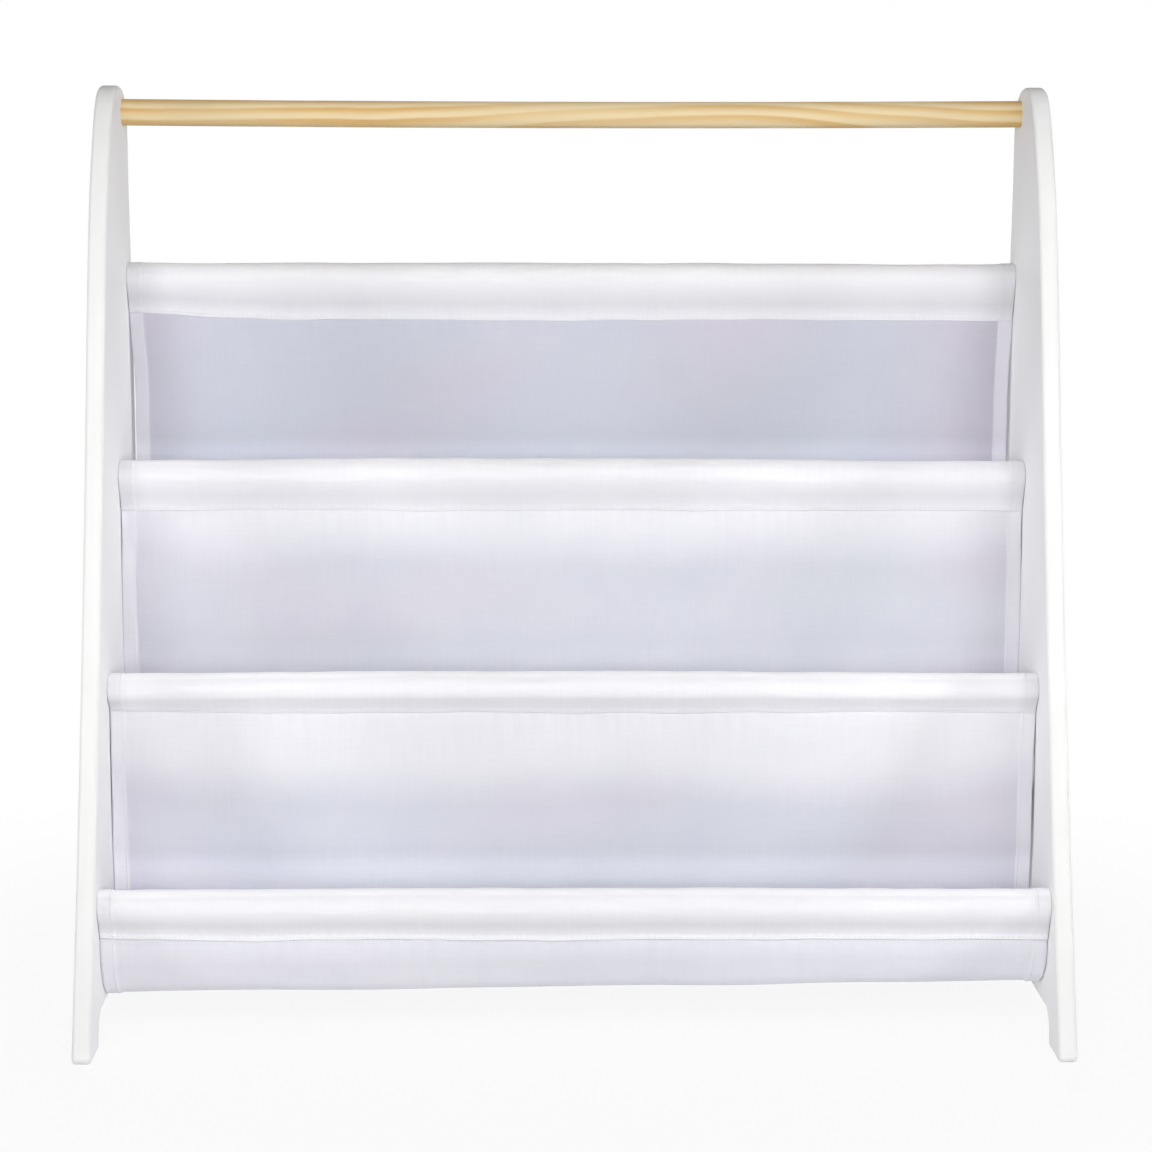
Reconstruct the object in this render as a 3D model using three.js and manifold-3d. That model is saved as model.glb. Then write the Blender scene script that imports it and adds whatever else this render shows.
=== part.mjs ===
// A children's sling bookshelf: two white side panels, a pine rail across the top, and one
// length of cloth that hangs over four rods and makes three pockets for picture books.
// Millimetres. +Z is up, the front faces -Y, and X runs across the width.
// The origin is on the floor, under the middle of the whole.

import * as THREE from 'three';
import { mergeVertices } from 'three/addons/utils/BufferGeometryUtils.js';
import Module from 'manifold-3d';

const wasm = await Module();
wasm.setup();

// Overall sizes
const HEIGHT = 600;
const DEPTH = 280;
const CLEAR_WIDTH = 598;

// Gap kept between two pieces that rest on each other
const SEAT_GAP = 0.3;

// Length by which every cutting tool runs past the face that it cuts
const OVERRUN = 1;

// Side panels: flat boards with rounded edges
const PANEL_THICKNESS = 12;
const PANEL_EDGE_ROUND = 2.5;
const FOOT_LENGTH = 40;
const FOOT_FACE_ROUND = 1;
const ARCH_HEIGHT = 20.5;
const ARCH_ROUND = 14;
const OUTLINE_STEPS = 4;

// Free edge from the front toe to the crest, then round the head and down the part of the back
// edge that shows, as shares of the depth and the height. It runs straight from there to the heel.
const EDGE_SHARES = [
  [0, 0], [0.146, 0.2], [0.277, 0.4], [0.391, 0.6], [0.466, 0.75], [0.5375, 0.8667],
  [0.602, 0.9333], [0.655, 0.973], [0.7, 0.9925], [0.745, 0.999], [0.79, 1], [0.83, 0.9982],
  [0.862, 0.9935], [0.889, 0.985], [0.908, 0.973], [0.919, 0.957], [0.923, 0.935],
  [0.924, 0.905], [0.929, 0.868], [0.937, 0.83], [0.946, 0.785], [0.954, 0.73],
];

// Rods: the rail and the four sling rods are cut from the same round stock
const ROD_DIAMETER = 17.5;
const ROD_END_CHAMFER = 0.8;
const SOCKET_DEPTH = 4;
const RAIL_DROP = 17.3;
const RAIL_DEPTH_SHARE = 0.831;

// Middles of the sling rods, back to front, as shares of the depth and the height
const ROD_PLACE_SHARES = [[0.875, 0.7875], [0.666, 0.575], [0.409, 0.3587], [0.175, 0.1482]];

// Furniture bolts, each with a wide flat head and a hexagon socket
const BOLT_SHANK_DIAMETER = 6;
const BOLT_LENGTH = 22;
const BOLT_TIP_CHAMFER = 0.7;
const BOLT_HEAD_DIAMETER = 15;
const BOLT_HEAD_THICKNESS = 2;
const BOLT_HEAD_ROUND = 0.6;
const BOLT_SOCKET_WIDTH = 4;
const BOLT_SOCKET_DEPTH = 2.6;
const BOLT_HOLE_CLEARANCE = 0.5;
const BOLT_HEAD_CLEARANCE = 0.4;
const BOLT_END_ROOM = 2;

// Threaded inserts, pressed into the ends of the rods
const INSERT_DIAMETER = 9.5;
const INSERT_LENGTH = 14;
const INSERT_COLLAR_DIAMETER = 12.5;
const INSERT_COLLAR_THICKNESS = 1.2;

// Cloth of the sling, with the sewn sleeves that the rods slide through
const CLOTH_THICKNESS = 1.2;
const SLEEVE_END_GAP = 0.5;
const CLOTH_SIDE_GAP = 2.7;
const SEAM_DROP = 24;
const SEAM_DROP_SHARES = [1.1, 0.95, 0.64, 0.92];

// Pockets: how far the bottom of each hangs below the middle of the rod in front of it,
// how far the back of the pocket bellies, how the cloth hangs askew along the width, and the
// least height of the straight lip between the fold and the front seam
const POCKET_DROP = 80;
const POCKET_DROP_SHARES = [1, 1.1, 0.78];
const POCKET_BELLY = 5;
const POCKET_BELLY_SHARES = [1, 0.5, 1];
const POCKET_BOW = 2;
const POCKET_TILT = 3;
const POCKET_TILT_SHARES = [-0.4, 0.3, 1];
const POCKET_LIP = 3;

// Facets of the round and the curved forms
const ROD_SIDES = 20;
const SLEEVE_STEPS = 18;
const FASTENER_SIDES = 12;
const CORNER_STEPS = 3;
const EDGE_STEPS = 2;
const CLOTH_STATIONS = 12;
const CLOTH_BACK_STEPS = 7;
const CLOTH_FOLD_STEPS = 14;
const CLOTH_FRONT_STEPS = 2;

// Sizes that follow from the ones above
const ROD_RADIUS = ROD_DIAMETER / 2;
const ROD_LENGTH = CLEAR_WIDTH + 2 * (SOCKET_DEPTH - SEAT_GAP);
const SOCKET_RADIUS = ROD_RADIUS + SEAT_GAP;
const HEAD_RECESS = BOLT_HEAD_THICKNESS + SEAT_GAP;
const BOLT_HOLE_RADIUS = BOLT_SHANK_DIAMETER / 2 + BOLT_HOLE_CLEARANCE;
const HEAD_RECESS_RADIUS = BOLT_HEAD_DIAMETER / 2 + BOLT_HEAD_CLEARANCE;
const BOLT_SEAT = PANEL_THICKNESS - HEAD_RECESS + SEAT_GAP;
const BOLT_REACH = BOLT_LENGTH - BOLT_SEAT + SOCKET_DEPTH - SEAT_GAP;

// Rail and rods in the side view: y from front to back about the middle, z from the floor
function sidePlace(depthShare, height) {
  return new THREE.Vector2(DEPTH * (depthShare - 1 / 2), height);
}
const railPlace = sidePlace(RAIL_DEPTH_SHARE, HEIGHT - RAIL_DROP);
const rodPlaces = ROD_PLACE_SHARES.map(([across, up]) => sidePlace(across, HEIGHT * up));
const crossbars = [
  { name: 'top_rail', fastener: 'rail', place: railPlace, colour: 0xe0b884 },
  ...rodPlaces.map((place, i) => (
    { name: `sling_rod_${i + 1}`, fastener: `rod_${i + 1}`, place, colour: 0xd9b07c })),
];

// Turns a drawing in the side view (its x is the depth, its y the height) to stand across X
const ACROSS = new THREE.Matrix4().makeBasis(
  new THREE.Vector3(0, 1, 0), new THREE.Vector3(0, 0, 1), new THREE.Vector3(1, 0, 0));

// Closed mesh to solid, for cuts, and back again. A turned mesh has slivers of no area where
// its profile meets the axis, and they are left out.
function toSolid(geometry) {
  const bare = geometry.clone();
  bare.deleteAttribute('normal');
  bare.deleteAttribute('uv');
  const merged = mergeVertices(bare);
  const corners = merged.index.array;
  const triangles = [];
  for (let i = 0; i < corners.length; i += 3) {
    const [a, b, c] = corners.slice(i, i + 3);
    if (a !== b && b !== c && c !== a) triangles.push(a, b, c);
  }
  return new wasm.Manifold(new wasm.Mesh({
    numProp: 3,
    vertProperties: new Float32Array(merged.attributes.position.array),
    triVerts: new Uint32Array(triangles),
  }));
}

function toGeometry(solid) {
  const mesh = solid.getMesh();
  const geometry = new THREE.BufferGeometry();
  geometry.setAttribute('position', new THREE.BufferAttribute(mesh.vertProperties, 3));
  geometry.setIndex(new THREE.BufferAttribute(mesh.triVerts, 1));
  geometry.computeVertexNormals();
  return geometry;
}

const shelf = new THREE.Group();
const pieces = new THREE.Group();
shelf.add(pieces);

function addPiece(name, geometry, x, place, colour, roughness, metalness = 0) {
  const material = new THREE.MeshStandardMaterial({ color: colour, roughness, metalness });
  const mesh = new THREE.Mesh(geometry, material);
  mesh.name = name;
  mesh.position.set(x, place.x, place.y);
  pieces.add(mesh);
}

// Points of an arc of the given radius that rounds one corner of an outline
function roundedCorner(before, corner, after, radius, steps) {
  const toBefore = before.clone().sub(corner).normalize();
  const toAfter = after.clone().sub(corner).normalize();
  const halfAngle = Math.acos(toBefore.dot(toAfter)) / 2;
  const middle = toBefore.clone().add(toAfter).normalize();
  const centre = corner.clone().addScaledVector(middle, radius / Math.sin(halfAngle));
  const start = corner.clone().addScaledVector(toBefore, radius / Math.tan(halfAngle)).sub(centre);
  const end = corner.clone().addScaledVector(toAfter, radius / Math.tan(halfAngle)).sub(centre);
  const sweep = Math.atan2(start.cross(end), start.dot(end));
  const points = [];
  for (let i = 0; i <= steps; i += 1) {
    points.push(start.clone().rotateAround(new THREE.Vector2(), sweep * i / steps).add(centre));
  }
  return points;
}

// Side panel: the feet and the arch between them, the front edge that leans back in one long
// curve to the round head, and a back edge that is nearly upright
function panelOutline() {
  const edge = new THREE.SplineCurve(
    EDGE_SHARES.map(([across, up]) => sidePlace(across, HEIGHT * up)));
  const edgePoints = edge.getPoints((EDGE_SHARES.length - 1) * OUTLINE_STEPS);
  const frontToe = sidePlace(0, 0);
  const rearHeel = sidePlace(1, 0);
  const frontHeel = new THREE.Vector2(frontToe.x + FOOT_LENGTH, 0);
  const rearToe = new THREE.Vector2(rearHeel.x - FOOT_LENGTH, 0);
  const archFront = new THREE.Vector2(frontHeel.x, ARCH_HEIGHT);
  const archBack = new THREE.Vector2(rearToe.x, ARCH_HEIGHT);
  const foot = (before, corner, after) => (
    roundedCorner(before, corner, after, PANEL_EDGE_ROUND + FOOT_FACE_ROUND, CORNER_STEPS));
  const arch = (before, corner, after) => (
    roundedCorner(before, corner, after, ARCH_ROUND, CORNER_STEPS + EDGE_STEPS));
  const outline = [
    ...foot(edgePoints[1], frontToe, frontHeel),
    ...foot(frontToe, frontHeel, archFront),
    ...arch(frontHeel, archFront, archBack),
    ...arch(archFront, archBack, rearToe),
    ...foot(archBack, rearToe, rearHeel),
    ...foot(rearToe, rearHeel, edgePoints.at(-1)),
    ...edgePoints.slice(1).reverse(),
  ];
  return new THREE.Shape(outline);
}

// Stepped hole for one rod, from the inner face outwards: the socket that the rod sits in,
// the bolt's hole, and the recess that takes the bolt's head below the outer face
function rodHole() {
  const profile = [
    [0, -OVERRUN],
    [SOCKET_RADIUS, -OVERRUN],
    [SOCKET_RADIUS, SOCKET_DEPTH],
    [BOLT_HOLE_RADIUS, SOCKET_DEPTH],
    [BOLT_HOLE_RADIUS, PANEL_THICKNESS - HEAD_RECESS],
    [HEAD_RECESS_RADIUS, PANEL_THICKNESS - HEAD_RECESS],
    [HEAD_RECESS_RADIUS, PANEL_THICKNESS + OVERRUN],
    [0, PANEL_THICKNESS + OVERRUN],
  ];
  return turned(profile, ROD_SIDES);
}

// Turned piece about its local Y axis, from a profile of [radius, place along the axis]
function turned(profile, sides) {
  return new THREE.LatheGeometry(profile.map(([r, a]) => new THREE.Vector2(r, a)), sides);
}

// side is -1 for the left piece and 1 for the right one; a turned piece's axis points outwards
function outwards(geometry, side) {
  return geometry.clone().rotateZ(-side * Math.PI / 2);
}

function sidePanel(side) {
  const board = new THREE.ExtrudeGeometry(panelOutline(), {
    depth: PANEL_THICKNESS - 2 * PANEL_EDGE_ROUND,
    bevelThickness: PANEL_EDGE_ROUND,
    bevelSize: PANEL_EDGE_ROUND,
    bevelOffset: -PANEL_EDGE_ROUND,
    bevelSegments: EDGE_STEPS,
    curveSegments: 1,
  });
  board.translate(0, 0, PANEL_EDGE_ROUND);
  board.applyMatrix4(ACROSS);
  const innerFace = side > 0 ? 0 : PANEL_THICKNESS;
  const hole = outwards(rodHole(), side);
  let panel = toSolid(board);
  for (const { place } of crossbars) {
    panel = panel.subtract(toSolid(hole.clone().translate(innerFace, place.x, place.y)));
  }
  return toGeometry(panel);
}

const onFloor = new THREE.Vector2(0, 0);
addPiece('left_side_panel', sidePanel(-1), -CLEAR_WIDTH / 2 - PANEL_THICKNESS, onFloor, 0xf4f4f2, 0.45);
addPiece('right_side_panel', sidePanel(1), CLEAR_WIDTH / 2, onFloor, 0xf4f4f2, 0.45);

// Rail and sling rods: round bars with a stepped hole in each end, for the insert's collar,
// the insert itself and the tip of the bolt beyond it
function rodBar() {
  const collarRadius = INSERT_COLLAR_DIAMETER / 2 + SEAT_GAP;
  const insertRadius = INSERT_DIAMETER / 2 + SEAT_GAP;
  const collarDepth = INSERT_COLLAR_THICKNESS + SEAT_GAP;
  const insertDepth = INSERT_LENGTH + SEAT_GAP;
  const tipDepth = BOLT_REACH + BOLT_END_ROOM;
  const half = ROD_LENGTH / 2;
  const end = [
    [0, half - tipDepth],
    [BOLT_HOLE_RADIUS, half - tipDepth],
    [BOLT_HOLE_RADIUS, half - insertDepth],
    [insertRadius, half - insertDepth],
    [insertRadius, half - collarDepth],
    [collarRadius, half - collarDepth],
    [collarRadius, half],
    [ROD_RADIUS - ROD_END_CHAMFER, half],
    [ROD_RADIUS, half - ROD_END_CHAMFER],
  ];
  const otherEnd = end.map(([r, a]) => [r, -a]);
  return outwards(turned([...otherEnd, ...end.reverse()], ROD_SIDES), 1);
}

for (const { name, place, colour } of crossbars) {
  addPiece(name, rodBar(), 0, place, colour, 0.55);
}

// Bolt: its axis points outwards, with zero where its head seats on the panel
function bolt() {
  const headRadius = BOLT_HEAD_DIAMETER / 2;
  const shankRadius = BOLT_SHANK_DIAMETER / 2;
  const body = turned([
    [0, -BOLT_LENGTH],
    [shankRadius - BOLT_TIP_CHAMFER, -BOLT_LENGTH],
    [shankRadius, BOLT_TIP_CHAMFER - BOLT_LENGTH],
    [shankRadius, 0],
    [headRadius, 0],
    [headRadius, BOLT_HEAD_THICKNESS - BOLT_HEAD_ROUND],
    [headRadius - BOLT_HEAD_ROUND, BOLT_HEAD_THICKNESS],
    [0, BOLT_HEAD_THICKNESS],
  ], FASTENER_SIDES);
  const cornerRadius = BOLT_SOCKET_WIDTH / 2 / Math.cos(Math.PI / 6);
  const key = new THREE.CylinderGeometry(
    cornerRadius, cornerRadius, BOLT_SOCKET_DEPTH + OVERRUN, 6);
  key.translate(0, BOLT_HEAD_THICKNESS + (OVERRUN - BOLT_SOCKET_DEPTH) / 2, 0);
  return toGeometry(toSolid(body).subtract(toSolid(key)));
}

// Threaded insert: its axis points outwards, with zero at the end face of the rod
function insert() {
  const boreRadius = BOLT_SHANK_DIAMETER / 2 + SEAT_GAP;
  const collarRadius = INSERT_COLLAR_DIAMETER / 2;
  const wallRadius = INSERT_DIAMETER / 2;
  return turned([
    [boreRadius, -INSERT_LENGTH],
    [wallRadius, -INSERT_LENGTH],
    [wallRadius, -INSERT_COLLAR_THICKNESS],
    [collarRadius, -INSERT_COLLAR_THICKNESS],
    [collarRadius, 0],
    [boreRadius, 0],
    [boreRadius, -INSERT_LENGTH],
  ], FASTENER_SIDES);
}

for (const { fastener, place } of crossbars) {
  for (const [sideName, side] of [['left', -1], ['right', 1]]) {
    const innerFace = side * CLEAR_WIDTH / 2;
    const boltSeat = innerFace + side * BOLT_SEAT;
    addPiece(`bolt_${fastener}_${sideName}`, outwards(bolt(), side), boltSeat, place, 0xb8b8b4, 0.3, 1);
    addPiece(`insert_${fastener}_${sideName}`, outwards(insert(), side),
      side * ROD_LENGTH / 2, place, 0xb89a5a, 0.4, 1);
  }
}

// Sleeve: the cloth goes round its rod and both layers are sewn together below it, so the
// section is a drop with two straight walls that meet at the seam. The free ends draw in
// from the rod to the seam.
function dropOutline(radius, halfWidth, drop) {
  const reach = Math.hypot(halfWidth, drop);
  const start = Math.atan2(-drop, halfWidth) + Math.acos(radius / reach);
  const end = Math.PI - start;
  const points = [new THREE.Vector2(-halfWidth, -drop), new THREE.Vector2(halfWidth, -drop)];
  for (let i = 0; i <= SLEEVE_STEPS; i += 1) {
    const angle = start + (end - start) * i / SLEEVE_STEPS;
    points.push(new THREE.Vector2(radius * Math.cos(angle), radius * Math.sin(angle)));
  }
  return points;
}

function sleeve(drop) {
  const innerRadius = ROD_RADIUS + SEAT_GAP;
  const outerRadius = innerRadius + CLOTH_THICKNESS;
  const section = new THREE.Shape(dropOutline(outerRadius, CLOTH_THICKNESS, drop));
  const lean = Math.asin(outerRadius / Math.hypot(CLOTH_THICKNESS, drop))
    - Math.atan2(CLOTH_THICKNESS, drop);
  const innerDrop = innerRadius / Math.sin(lean);
  section.holes.push(new THREE.Path(dropOutline(innerRadius, 0, innerDrop).slice(1)));
  const fullHalf = CLEAR_WIDTH / 2 - SLEEVE_END_GAP;
  const geometry = new THREE.ExtrudeGeometry(section, { depth: 2 * fullHalf, bevelEnabled: false });
  geometry.translate(0, 0, -fullHalf);
  geometry.applyMatrix4(ACROSS);
  const drawIn = CLOTH_SIDE_GAP - SLEEVE_END_GAP;
  const position = geometry.attributes.position;
  for (let i = 0; i < position.count; i += 1) {
    const below = Math.max(0, -position.getZ(i)) / drop;
    position.setX(i, Math.sign(position.getX(i)) * (fullHalf - drawIn * below));
  }
  return geometry;
}

const seamDrops = SEAM_DROP_SHARES.map((share) => SEAM_DROP * share);
rodPlaces.forEach((place, i) => {
  addPiece(`sling_sleeve_${i + 1}`, sleeve(seamDrops[i]), 0, place, 0xf0f0f4, 0.9);
});

// Pocket: one sheet that hangs from the seam of the rod behind, turns forward in a round fold
// and climbs to the seam of the rod in front. Where two pockets share a rod, their sheets
// leave its seam side by side. middleLine gives the sheet's middle in the side view.
function smooth(share) {
  return share * share * (3 - 2 * share);
}

function middleLine(back, front, bellyStart, belly, bottom) {
  const foldHalf = (back.x + belly - front.x) / 2;
  const foldMiddle = front.x + foldHalf;
  const foldTop = Math.min(bottom + foldHalf, front.y - POCKET_LIP);
  const points = [];
  for (let i = 0; i < CLOTH_BACK_STEPS; i += 1) {
    const z = THREE.MathUtils.lerp(back.y, foldTop, i / CLOTH_BACK_STEPS);
    const share = THREE.MathUtils.clamp((bellyStart - z) / (bellyStart - foldTop), 0, 1);
    points.push(new THREE.Vector2(back.x + belly * smooth(share), z));
  }
  for (let i = 0; i < CLOTH_FOLD_STEPS; i += 1) {
    const angle = Math.PI * i / CLOTH_FOLD_STEPS;
    points.push(new THREE.Vector2(
      foldMiddle + foldHalf * Math.cos(angle), foldTop - (foldTop - bottom) * Math.sin(angle)));
  }
  for (let i = 0; i <= CLOTH_FRONT_STEPS; i += 1) {
    points.push(new THREE.Vector2(
      front.x, THREE.MathUtils.lerp(foldTop, front.y, i / CLOTH_FRONT_STEPS)));
  }
  return points;
}

// Closed ring of a sheet's section: its middle line offset to both sides by half a thickness
function thickened(line) {
  const outer = [];
  const inner = [];
  line.forEach((point, i) => {
    const along = line[Math.min(i + 1, line.length - 1)].clone().sub(line[Math.max(i - 1, 0)]);
    const across = new THREE.Vector2(-along.y, along.x).setLength(CLOTH_THICKNESS / 2);
    outer.push(point.clone().add(across));
    inner.push(point.clone().sub(across));
  });
  return [...outer, ...inner.reverse()];
}

// Skin over the rings of a sheet, one ring at each station across the width
function lofted(stations, rings) {
  const count = rings[0].length;
  const positions = [];
  rings.forEach((ring, i) => ring.forEach(({ x, y }) => positions.push(stations[i], x, y)));
  const index = [];
  const quad = (a, b, c, d) => index.push(a, c, b, a, d, c);
  for (let i = 0; i + 1 < rings.length; i += 1) {
    for (let j = 0; j < count; j += 1) {
      const next = (j + 1) % count;
      quad(i * count + j, i * count + next, (i + 1) * count + next, (i + 1) * count + j);
    }
  }
  const last = (rings.length - 1) * count;
  for (let j = 0; j + 1 < count / 2; j += 1) {
    const facing = count - 1 - j;
    quad(j, facing, facing - 1, j + 1);
    quad(last + j, last + j + 1, last + facing - 1, last + facing);
  }
  const geometry = new THREE.BufferGeometry();
  geometry.setAttribute('position', new THREE.Float32BufferAttribute(positions, 3));
  geometry.setIndex(index);
  geometry.computeVertexNormals();
  return geometry;
}

function pocketBottom(i) {
  return rodPlaces[i + 1].y - POCKET_DROP * POCKET_DROP_SHARES[i];
}

function pocket(i) {
  const sideStep = (CLOTH_THICKNESS + SEAT_GAP) / 2;
  const backRod = rodPlaces[i];
  const frontRod = rodPlaces[i + 1];
  const backIsShared = i > 0;
  const frontIsShared = i + 2 < rodPlaces.length;
  const back = new THREE.Vector2(
    backRod.x - (backIsShared ? sideStep : 0), backRod.y - seamDrops[i] - SEAT_GAP);
  const front = new THREE.Vector2(
    frontRod.x + (frontIsShared ? sideStep : 0), frontRod.y - seamDrops[i + 1] - SEAT_GAP);
  const halfWidth = CLEAR_WIDTH / 2 - CLOTH_SIDE_GAP;
  const belly = POCKET_BELLY * POCKET_BELLY_SHARES[i];
  const bellyStart = backIsShared ? pocketBottom(i - 1) : back.y;
  const stations = [];
  const rings = [];
  for (let n = 0; n <= CLOTH_STATIONS; n += 1) {
    const share = 2 * n / CLOTH_STATIONS - 1;
    const askew = POCKET_TILT * POCKET_TILT_SHARES[i] * share - POCKET_BOW * (1 - share * share);
    stations.push(halfWidth * share);
    rings.push(thickened(middleLine(back, front, bellyStart, belly, pocketBottom(i) + askew)));
  }
  return lofted(stations, rings);
}

for (let i = 0; i + 1 < rodPlaces.length; i += 1) {
  addPiece(`sling_pocket_${i + 1}`, pocket(i), 0, onFloor, 0xe6e6ee, 0.95);
}

// The rounded feet end a little short of the drawn corners, so the pieces are moved to stand
// with their middle over the origin
const extent = new THREE.Box3().setFromObject(pieces, true);
pieces.position.y = -extent.getCenter(new THREE.Vector3()).y;

export default shelf;
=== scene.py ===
"""Dresses the sling bookshelf: finer shapes, cloth and stitching, and each piece's finish.

Metres, in the frame of the solids: +Z is up, the front faces -Y and X runs along the rods.
"""

import math

import bmesh
import bpy
import numpy as np
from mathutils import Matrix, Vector
from mathutils.geometry import delaunay_2d_cdt


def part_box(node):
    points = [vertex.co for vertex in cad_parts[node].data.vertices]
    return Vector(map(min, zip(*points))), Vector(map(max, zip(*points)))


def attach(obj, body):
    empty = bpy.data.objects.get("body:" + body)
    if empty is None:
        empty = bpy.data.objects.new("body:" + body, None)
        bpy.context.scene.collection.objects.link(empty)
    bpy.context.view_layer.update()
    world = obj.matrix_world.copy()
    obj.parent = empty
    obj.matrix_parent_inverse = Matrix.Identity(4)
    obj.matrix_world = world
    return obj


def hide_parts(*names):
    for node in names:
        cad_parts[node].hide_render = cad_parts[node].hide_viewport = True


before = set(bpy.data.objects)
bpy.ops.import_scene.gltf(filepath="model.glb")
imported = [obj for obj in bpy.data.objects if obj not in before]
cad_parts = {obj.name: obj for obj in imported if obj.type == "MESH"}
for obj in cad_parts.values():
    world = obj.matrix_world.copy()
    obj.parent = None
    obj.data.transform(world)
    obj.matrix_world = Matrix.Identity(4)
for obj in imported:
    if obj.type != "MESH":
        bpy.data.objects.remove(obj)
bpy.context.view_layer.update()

# Side panels: two boards cut to one outline, edges rounded over, painted satin white. Five
# sockets in the inner face take the rods, and five recesses in the outer face the bolt heads.
PANEL_DEPTH = 0.28
PANEL_HEIGHT = 0.6
PANEL_THICKNESS = 0.012
PANEL_EDGE_ROUND = 0.0025
PANEL_ROUND_STEPS = 6
PANEL_RUBBED_WIDTH = 0.0032
PANEL_OUTLINE_STEP = 0.0035
PANEL_CURVE_STEPS = 16
PANEL_SMOOTHINGS = 3
FOOT_LENGTH = 0.04
FOOT_CORNER_RADIUS = 0.0035
FOOT_CORNER_STEPS = 6
ARCH_HEIGHT = 0.0205
ARCH_RADIUS = 0.014
ARCH_CORNER_STEPS = 12
EDGE_SHARES = [
    (0, 0), (0.146, 0.2), (0.277, 0.4), (0.391, 0.6), (0.466, 0.75), (0.5375, 0.8667),
    (0.602, 0.9333), (0.655, 0.973), (0.7, 0.9925), (0.745, 0.999), (0.79, 1), (0.83, 0.9982),
    (0.862, 0.9935), (0.889, 0.985), (0.908, 0.973), (0.919, 0.957), (0.923, 0.935),
    (0.924, 0.905), (0.929, 0.868), (0.937, 0.83), (0.946, 0.785), (0.954, 0.73),
]
ROD_SOCKET_RADIUS = 0.00885
ROD_SOCKET_DEPTH = 0.004
BOLT_HOLE_RADIUS = 0.0035
HEAD_RECESS_RADIUS = 0.0079
HEAD_RECESS_DEPTH = 0.0023
HOLE_LIP = 0.0002
HOLE_SIDES = 48
PAINT_WHITE = (0.93, 0.925, 0.936, 1)
PAINT_SHADOW = (0.9, 0.896, 0.905, 1)
PAINT_RUBBED = (0.85, 0.848, 0.838, 1)
PAINT_ROUGHNESS = (0.62, 0.74)
PAINT_GLOSS = 0.01
PAINT_PEEL_DEPTH = 0.00003
CROSSBARS = ["top_rail", "sling_rod_1", "sling_rod_2", "sling_rod_3", "sling_rod_4"]


def middle_of(node):
    """The middle of a node of the frame, as (x, y, z)."""
    low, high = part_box(node)
    return (low + high) / 2


def curve_through(points, steps):
    """Points of one smooth curve through all the given points."""
    held = np.vstack([points[:1], points, points[-1:]])
    share = np.linspace(0, 1, steps, endpoint=False)[:, None]
    stretches = []
    for before, start, end, after in zip(held, held[1:], held[2:], held[3:]):
        leaving = (end - before) / 2
        arriving = (after - start) / 2
        bend = 3 * (end - start) - 2 * leaving - arriving
        twist = 2 * (start - end) + leaving + arriving
        stretches.append(start + share * leaving + share**2 * bend + share**3 * twist)
    return np.vstack([*stretches, points[-1:]])


def evenly_spaced(line, step):
    """The same line with its points about one step apart."""
    lengths = np.r_[0, np.cumsum(np.linalg.norm(np.diff(line, axis=0), axis=1))]
    marks = np.linspace(0, lengths[-1], max(2, round(lengths[-1] / step) + 1))
    return np.stack([np.interp(marks, lengths, axis) for axis in line.T], axis=1)


def rounded_corner(before, corner, after, radius, steps):
    """Points of the arc that rounds one corner of an outline."""
    to_before = (before - corner) / np.linalg.norm(before - corner)
    to_after = (after - corner) / np.linalg.norm(after - corner)
    half_angle = math.acos(to_before @ to_after) / 2
    to_middle = (to_before + to_after) / np.linalg.norm(to_before + to_after)
    centre = corner + to_middle * radius / math.sin(half_angle)
    start = corner + to_before * radius / math.tan(half_angle) - centre
    end = corner + to_after * radius / math.tan(half_angle) - centre
    sweep = math.atan2(start[0] * end[1] - start[1] * end[0], start @ end)
    square = np.array([-start[1], start[0]])
    turn = np.linspace(0, sweep, steps + 1)[:, None]
    return centre + start * np.cos(turn) + square * np.sin(turn)


def panel_outline():
    """The panel's outline in the side view, as (y, z), from the front toe round to it again."""
    shares = np.array(EDGE_SHARES, float)
    edge = curve_through((shares - (0.5, 0)) * (PANEL_DEPTH, PANEL_HEIGHT), PANEL_CURVE_STEPS)
    toe = np.array([-PANEL_DEPTH / 2, 0])
    heel = np.array([PANEL_DEPTH / 2, 0])
    free_edge = evenly_spaced(np.vstack([edge, heel]), PANEL_OUTLINE_STEP)
    for _ in range(PANEL_SMOOTHINGS):
        free_edge[1:-1] = (free_edge[:-2] + 2 * free_edge[1:-1] + free_edge[2:]) / 4
    front_heel = toe + (FOOT_LENGTH, 0)
    rear_toe = heel - (FOOT_LENGTH, 0)
    arch_front = front_heel + (0, ARCH_HEIGHT)
    arch_back = rear_toe + (0, ARCH_HEIGHT)
    corners = [free_edge[2], toe, front_heel, arch_front, arch_back, rear_toe, heel, free_edge[-3]]
    outline = []
    for before, corner, after in zip(corners, corners[1:], corners[2:]):
        if corner is arch_front or corner is arch_back:
            radius, steps = ARCH_RADIUS, ARCH_CORNER_STEPS
        else:
            radius, steps = FOOT_CORNER_RADIUS, FOOT_CORNER_STEPS
        outline.append(rounded_corner(before, corner, after, radius, steps))
    outline = np.vstack([*outline, free_edge[-3:2:-1]])
    middle = (outline.min(axis=0) + outline.max(axis=0)) / 2
    return outline - (middle[0] - middle_of("left_side_panel").y, 0)


def inset(outline, distance):
    """The outline moved inwards by one distance all round."""
    along = np.roll(outline, -1, axis=0) - outline
    along /= np.linalg.norm(along, axis=1)[:, None]
    leaving = np.stack([-along[:, 1], along[:, 0]], axis=1)
    arriving = np.roll(leaving, 1, axis=0)
    overlap = 1 + (leaving * arriving).sum(axis=1)
    return outline + (leaving + arriving) / overlap[:, None] * distance


def closed_bands(rings):
    """Quads that join each ring of corners to the next."""
    quads = []
    for ring, following in zip(rings, rings[1:]):
        for here, there in zip(range(len(ring)), [*range(1, len(ring)), 0]):
            quads.append((ring[here], ring[there], following[there], following[here]))
    return quads


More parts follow.
